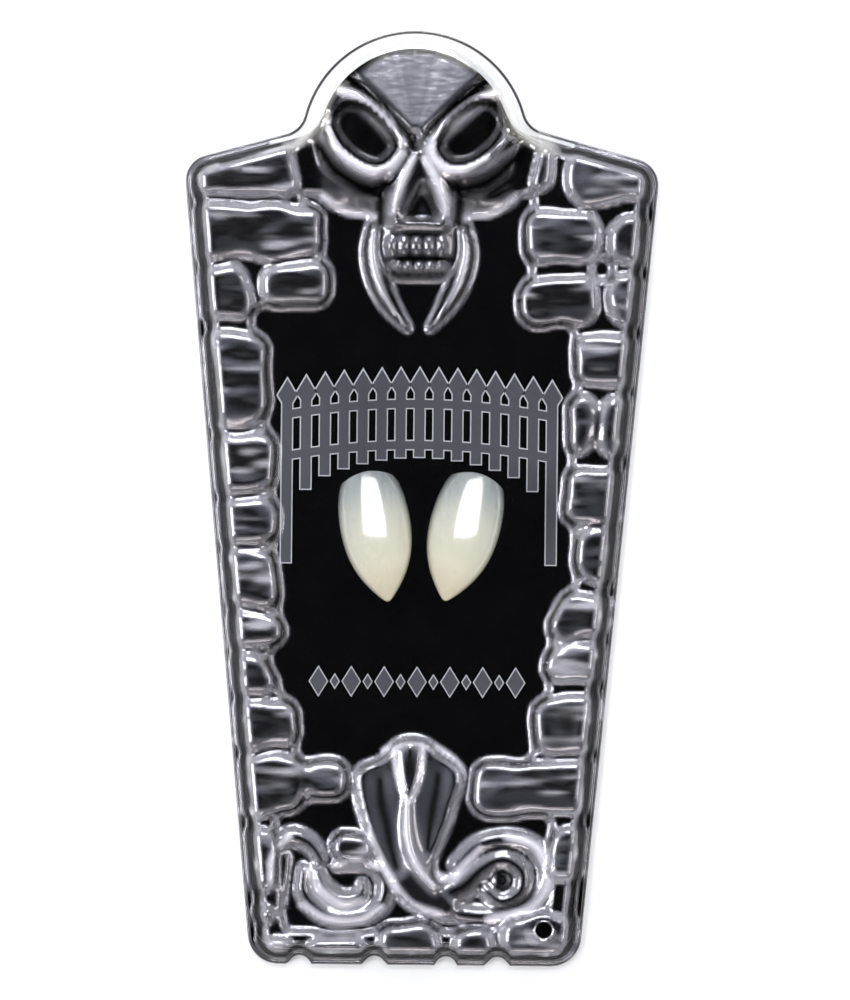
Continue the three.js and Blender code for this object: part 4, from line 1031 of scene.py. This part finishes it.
# %% Ivory material
ivory, graph = new_material("tooth_resin")
along = graph.add("ShaderNodeAttribute", {"attribute_name": "along"}, output="Fac")
mottle = graph.noise(420, 3, stretch=(1, 0.5, 1))
streak = graph.noise(1400, 2, stretch=(1, 0.12, 1))
where = along + (mottle - 0.5) * 0.09
tone = graph.add(
    "ShaderNodeValToRGB",
    {"stops": [
        (0.0, (0.20, 0.225, 0.23, 1)),
        (0.14, (0.34, 0.37, 0.355, 1)),
        (0.38, (0.60, 0.60, 0.50, 1)),
        (0.72, (0.80, 0.75, 0.57, 1)),
        (1.0, (0.74, 0.64, 0.43, 1)),
    ]},
    {"Fac": where},
)
veined = graph.mix((streak - 0.5) * 0.3 + 0.1, tone, (0.84, 0.83, 0.75, 1))
polish = graph.add("ShaderNodeBump", inputs={"Strength": 0.22, "Distance": 0.0002, "Height": streak})
resin = graph.add(
    "ShaderNodeBsdfPrincipled",
    inputs={
        "Base Color": veined,
        "Roughness": 0.24 + mottle * 0.08,
        "IOR": 1.52,
        "Coat Weight": 1.0,
        "Coat Roughness": 0.12,
        "Coat IOR": 1.9,
        "Normal": polish,
    },
)
graph.add("ShaderNodeOutputMaterial", inputs={"Surface": resin})
fangs = [cap_shell(cap, ivory) for cap in CAPS]

# %% [markdown]
# ## Card
# The card keeps its solid from the model. It is coated board, printed solid black: a soft sheen with
# the faint tooth of paper, and slow clouds where the ink is thinner.

# %% Card material
black_card, graph = new_material("black_printed_board")
tooth = graph.noise(5200, 2)
cloud = graph.noise(180, 3)
black = graph.mix(cloud * 0.5, grey(0.0008), grey(0.0018))
paper = graph.add("ShaderNodeBump", inputs={"Strength": 0.12, "Distance": 0.00005, "Height": tooth})
board = graph.add(
    "ShaderNodeBsdfPrincipled",
    inputs={
        "Base Color": black,
        "Roughness": 0.16 + cloud * 0.06,
        "Specular IOR Level": 0.08,
        "Normal": paper,
    },
)
graph.add("ShaderNodeOutputMaterial", inputs={"Surface": board})
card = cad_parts["backing_card"]
card.data.materials.clear()
card.data.materials.append(black_card)
print("card material:", card.data.materials[0].name)

# %% [markdown]
# ## Margin of the card
# The real card runs on under the flange, up to the inside of the sheet. The solid stops short of that,
# so a strip of the same board closes the gap along the foot and the sides. A ray from each column
# of the outline inward finds the card's edge, and the strip lies between the sheet and that edge. Round
# the dome there is no card behind the wall, and the paper shines through.

# %% Card margin
MARGIN_FIT = 0.06  # mm of air round the strip
MARGIN_END = SHOULDER_Y + 3.2  # the strip ends a little above the widest place

card_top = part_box("backing_card")[1][2]
card_points = [v.co / MM for v in card.data.vertices]
card_tree = BVHTree.FromPolygons(card_points, [p.vertices[:] for p in card.data.polygons])
beside = np.flatnonzero(edge[:, 1] < MARGIN_END)
gap = int(np.argmax(np.diff(beside))) + 1
beside = np.roll(beside, -gap)
half_up = card_top / MM / 2
starts = [Vector((*edge[i], half_up)) for i in beside]
far = [card_tree.ray_cast(start, Vector((*inward[i], 0)))[3] for start, i in zip(starts, beside)]
far = np.array(far) - MARGIN_FIT
near = notch[beside] + SHEET + MARGIN_FIT
lower, upper = MARGIN_FIT, card_top / MM - 0.02
section = [(near, lower), (far, lower), (far, upper), (near, upper)]
lines = [
    np.column_stack([edge[beside] + inward[beside] * across[:, None], np.full(len(beside), z)])
    for across, z in section
]
faces = []
corners = len(section)
for k in range(0, corners * (len(beside) - 1), corners):
    for now in range(corners):
        after = (now + 1) % corners
        faces.append((k + now, k + now + corners, k + after + corners, k + after))
faces += [range(corners), range(corners * len(beside) - 1, corners * (len(beside) - 1) - 1, -1)]
margin = make_piece("margin_strip", np.stack(lines, axis=1).reshape(-1, 3), faces, smooth=False)
margin.data.materials.append(black_card)
card_margin = finished(margin, "card_margin")
print("margin, mm wide:", np.round([(far - near).min(), (far - near).max()], 2))

# %% [markdown]
# ## Print on the card
# The card carries a flat grey print with a fine white outline. It is drawn here as a graveyard
# railing: palings with diamond heads that hang from a gently bowed top line, short in the middle and
# long at the ends, and two rails that bow along. Equal things in a row, whose length follows a
# formula, are what Geometry Nodes does well: points on a line, a bar and a head on each point, and
# subdivided boxes bent into rails. Each print is made twice, a white one and over it a grey one that
# is smaller by the outline.

# %% Helpers for trees
THICK = 0.015  # mm of ink


def new_tree(name, sockets):
    """A geometry tree whose inputs are named numbers."""
    tree = bpy.data.node_groups.new(name, "GeometryNodeTree")
    tree.interface.new_socket("Geometry", in_out="OUTPUT", socket_type="NodeSocketGeometry")
    for label, kind in sockets.items():
        tree.interface.new_socket(label, in_out="INPUT", socket_type="NodeSocket" + kind)
    return tree, Graph(tree)


def close_tree(graph, shapes):
    """Joins the shapes, makes the instances real and sets the material."""
    joined = graph.add("GeometryNodeJoinGeometry")
    for shape in shapes:
        graph.tree.links.new(shape.socket, joined.socket.node.inputs[0])
    real = graph.add("GeometryNodeRealizeInstances", inputs={0: joined})
    material = graph.add("NodeGroupInput", output="Material")
    coloured = graph.add("GeometryNodeSetMaterial", inputs={"Geometry": real, "Material": material})
    graph.add("NodeGroupOutput", inputs={0: coloured})


def vector(graph, x=0.0, y=0.0, z=0.0):
    return graph.add("ShaderNodeCombineXYZ", inputs={0: x, 1: y, 2: z})


def line_of_points(graph, count, half_span):
    """Points along X from one end of the span to the other."""
    ends = {"Start Location": vector(graph, half_span * -1), "Offset": vector(graph, half_span)}
    return graph.add("GeometryNodeMeshLine", {"mode": "END_POINTS"}, {"Count": count, **ends})


print("tree helpers ready")

# %% Railing
RAILS_BELOW = (2.6, 8.2)  # mm from the top line down to each rail

railing, graph = new_tree("railing", {
    "Palings": "Int", "Half Span": "Float", "Top": "Float", "Bow": "Float", "Foot": "Float",
    "Drop": "Float", "Posts": "Float", "Width": "Float", "Grow": "Float", "Lift": "Float",
    "Material": "Material",
})


def given(label):
    return graph.add("NodeGroupInput", output=label)


half_span, grow, lift = given("Half Span"), given("Grow"), given("Lift")
here = graph.add("ShaderNodeSeparateXYZ", inputs={0: graph.add("GeometryNodeInputPosition")}, output="X")
share = here / half_span
square = share * share
top_line = given("Top") - given("Bow") * square
foot_line = given("Foot") - given("Drop") * square - given("Posts") * square**8
bar_width = given("Width") + grow * 2
row_line = line_of_points(graph, given("Palings"), half_span)
bar = graph.add("GeometryNodeMeshCube", inputs={"Size": vector(graph, bar_width, MM, THICK * MM)})
bar_long = (top_line - foot_line + grow * 2) / MM
bar_points = graph.add(
    "GeometryNodeSetPosition",
    inputs={"Geometry": row_line, "Offset": vector(graph, 0, (top_line + foot_line) / 2, lift)},
)
bars = graph.add(
    "GeometryNodeInstanceOnPoints",
    inputs={"Points": bar_points, "Instance": bar, "Scale": vector(graph, 1.0, bar_long, 1.0)},
)
head = graph.add(
    "GeometryNodeMeshCylinder",
    inputs={"Vertices": 4, "Radius": given("Width") * 0.95 + grow * 1.4, "Depth": THICK * 1.2 * MM},
)
tall_head = graph.add("GeometryNodeTransform", inputs={"Geometry": head, "Scale": (1.0, 1.7, 1.0)})
head_points = graph.add(
    "GeometryNodeSetPosition", inputs={"Geometry": row_line, "Offset": vector(graph, 0, top_line, lift)}
)
heads = graph.add("GeometryNodeInstanceOnPoints", inputs={"Points": head_points, "Instance": tall_head})
rails = []
for below in RAILS_BELOW:
    size = vector(graph, half_span * 2 + grow * 2, 1.1 * MM + grow * 2, THICK * 1.1 * MM)
    box = graph.add("GeometryNodeMeshCube", inputs={"Size": size, "Vertices X": 41})
    place = vector(graph, 0, top_line - below * MM, lift)
    rails.append(graph.add("GeometryNodeSetPosition", inputs={"Geometry": box, "Offset": place}))
close_tree(graph, [bars, heads, *rails])
print(railing.name, "nodes:", len(railing.nodes))

# %% Row of lozenges
# Large and small ones by turns, in place of a second line of print.
lozenges, graph = new_tree("lozenges", {
    "Count": "Int", "Half Span": "Float", "Radius": "Float", "Grow": "Float", "Lift": "Float",
    "Material": "Material",
})
half_span = given("Half Span")
row_line = line_of_points(graph, given("Count"), half_span)
turn_by_turn = graph.maths("MODULO", graph.add("GeometryNodeInputIndex"), 2.0)
radius = given("Radius") * (1 - turn_by_turn * 0.55) + given("Grow") * 1.3
flat = graph.add("GeometryNodeMeshCylinder", inputs={"Vertices": 4, "Radius": MM, "Depth": THICK * MM})
points = graph.add(
    "GeometryNodeSetPosition", inputs={"Geometry": row_line, "Offset": vector(graph, 0, 0, given("Lift"))}
)
spread = vector(graph, radius / MM * 0.78, radius / MM * 1.25, 1.0)
shapes = graph.add(
    "GeometryNodeInstanceOnPoints", inputs={"Points": points, "Instance": flat, "Scale": spread}
)
close_tree(graph, [shapes])
print(lozenges.name, "nodes:", len(lozenges.nodes))

# %% Printing
def ink(name, colour):
    """A matt ink, a little uneven."""
    material, graph = new_material(name)
    patchy = graph.noise(700, 3)
    shade = graph.mix(patchy * 0.4, colour, tuple(0.7 * c for c in colour[:3]) + (1,))
    surface = graph.add("ShaderNodeBsdfPrincipled", inputs={"Base Color": shade, "Roughness": 0.55})
    graph.add("ShaderNodeOutputMaterial", inputs={"Surface": surface})
    return material


def print_on_card(name, tree, values, y):
    """Runs a tree on an empty mesh and shifts the print to its place on the card."""
    carrier = make_piece(name + "_carrier", [], [])
    modifier = carrier.modifiers.new("print", "NODES")
    modifier.node_group = tree
    for item in tree.interface.items_tree:
        if item.in_out == "INPUT":
            modifier[item.identifier] = values[item.name]
    piece = finished(carrier, name)
    for vertex in piece.data.vertices:
        vertex.co.y += y * MM
    return piece


RAILING = {"Palings": 15, "Half Span": 18.0 * MM, "Top": 15.4 * MM, "Bow": 1.6 * MM, "Foot": 5.6 * MM,
           "Drop": 5.0 * MM, "Posts": 9.5 * MM, "Width": 1.35 * MM}
LOZENGES = {"Count": 13, "Half Span": 13.4 * MM, "Radius": 1.5 * MM}
LOZENGE_Y = -25.0
inks = {
    "white": {"Grow": 0.16 * MM, "Lift": card_top + 0.015 * MM,
              "Material": ink("white_ink", (0.62, 0.62, 0.64, 1))},
    "grey": {"Grow": 0.0, "Lift": card_top + 0.035 * MM,
             "Material": ink("grey_ink", (0.085, 0.085, 0.097, 1))},
}
prints = []
for colour, layer in inks.items():
    prints.append(print_on_card("railing_" + colour, railing, {**RAILING, **layer}, 0))
    prints.append(print_on_card("lozenges_" + colour, lozenges, {**LOZENGES, **layer}, LOZENGE_Y))
print("printed:", [piece.name for piece in prints])

# %% [markdown]
# ## Floor
# The pack lies on plain white paper.

# %% Floor
floor_material, graph = new_material("white_paper")
fibre = graph.noise(60, 4)
tint = graph.mix(fibre, (0.93, 0.93, 0.93, 1), (0.96, 0.96, 0.955, 1))
paper = graph.add("ShaderNodeBsdfPrincipled", inputs={"Base Color": tint, "Roughness": 0.9})
graph.add("ShaderNodeOutputMaterial", inputs={"Surface": paper})
FLOOR_HALF = 900.0
corners = [(-1, -1), (1, -1), (1, 1), (-1, 1)]
floor = make_piece("floor", [(x * FLOOR_HALF, y * FLOOR_HALF, -0.05) for x, y in corners], [(0, 1, 2, 3)])
floor.data.materials.append(floor_material)
print("floor is", 2 * FLOOR_HALF * MM, "m wide")

# %% [markdown]
# ## Light
# Clear plastic needs a dark spot straight above, or its flat window would turn grey, and bright
# panels round it for the bends to catch. The world is a dim tent that is black overhead and brighter
# towards the head end, and four panels stand round the pack: strong ones at the head and on the
# left, softer ones elsewhere. The fangs have one panel of their own, a tall one nearly overhead that
# is linked to them alone, so that they have their long highlight and the window stays black. A last
# one is linked to the paper and keeps it white.

# %% Tent
HEADWARD = (-0.35, 0.7, 0)  # the tent grows brighter in this direction

world = bpy.data.worlds.new("tent")
bpy.context.scene.world = world
world.use_nodes = True
graph = Graph(world.node_tree)
direction = graph.add("ShaderNodeTexCoord", output="Generated")
height = graph.add("ShaderNodeSeparateXYZ", inputs={0: direction}, output="Z")
tent = graph.add(
    "ShaderNodeValToRGB",
    {"stops": [
        (0.0, (0.34, 0.34, 0.37, 1)),
        (0.5, (0.46, 0.47, 0.53, 1)),
        (0.8, (0.36, 0.37, 0.44, 1)),
        (0.93, (0.22, 0.23, 0.27, 1)),
        (0.975, (0.08, 0.085, 0.10, 1)),
        (0.99, (0, 0, 0, 1)),
    ]},
    {"Fac": height},
)
towards_head = graph.add(
    "ShaderNodeVectorMath", {"operation": "DOT_PRODUCT"}, {0: direction, 1: HEADWARD}, output="Value"
)
sky = graph.add("ShaderNodeBackground", inputs={"Color": tent, "Strength": towards_head + 0.85})
graph.add("ShaderNodeOutputWorld", inputs={"Surface": sky})
print(world.name, "nodes:", len(world.node_tree.nodes))

# %% Panels
PANELS = [
    {"name": "head_panel", "compass": 90, "tilt": 52, "wide": 420, "tall": 170, "watts": 3.6,
     "tint": (0.95, 0.97, 1), "lights": "pack"},
    {"name": "left_panel", "compass": 180, "tilt": 55, "wide": 420, "tall": 170, "watts": 3.2,
     "tint": (0.98, 0.98, 1), "lights": "pack"},
    {"name": "right_panel", "compass": 0, "tilt": 58, "wide": 420, "tall": 150, "watts": 1.0,
     "tint": (1, 0.97, 0.95), "lights": "pack"},
    {"name": "foot_panel", "compass": 270, "tilt": 60, "wide": 420, "tall": 150, "watts": 0.8,
     "tint": (1, 0.93, 0.9), "lights": "pack"},
    {"name": "fang_panel", "compass": 270, "tilt": 3, "wide": 440, "tall": 640, "watts": 6.5,
     "tint": (1, 1, 0.98), "lights": "fangs"},
    {"name": "paper_panel", "compass": 90, "tilt": 0, "wide": 600, "tall": 600, "watts": 1.2,
     "tint": (1, 1, 1), "lights": "paper"},
]
PANEL_DISTANCE = 700.0
receivers = {}
lit = {"fangs": fangs, "pack": [formed_cover, card, card_margin, floor, *prints], "paper": [floor]}
for name, pieces in lit.items():
    receivers[name] = bpy.data.collections.new("light_on_" + name)
    for piece in pieces:
        receivers[name].objects.link(piece)
for row in PANELS:
    lamp = bpy.data.lights.new(row["name"], "AREA")
    lamp.shape = "RECTANGLE"
    lamp.size = row["wide"] * MM
    lamp.size_y = row["tall"] * MM
    lamp.energy = row["watts"]
    lamp.color = row["tint"]
    panel = bpy.data.objects.new(row["name"], lamp)
    tilt, compass = math.radians(row["tilt"]), math.radians(row["compass"])
    toward = Vector((math.sin(tilt) * math.cos(compass), math.sin(tilt) * math.sin(compass), math.cos(tilt)))
    panel.location = toward * PANEL_DISTANCE * MM
    panel.rotation_euler = toward.to_track_quat("Z", "Y").to_euler()
    panel.light_linking.receiver_collection = receivers[row["lights"]]
    bpy.context.scene.collection.objects.link(panel)
print("panels:", len(PANELS))

# %% Tone and bounces
# A ray crosses two faces of the sheet each time it passes, and more at the walls, so twelve faces may
# let it through. Scattered light turns once and mirrored light twice.
bpy.context.scene.view_settings.view_transform = "Standard"
bpy.context.scene.cycles.max_bounces = 4
bpy.context.scene.cycles.diffuse_bounces = 1
bpy.context.scene.cycles.glossy_bounces = 2
bpy.context.scene.cycles.transparent_max_bounces = 12
bpy.context.scene.cycles.caustics_reflective = False
bpy.context.scene.cycles.caustics_refractive = False
print("bounces:", bpy.context.scene.cycles.max_bounces)
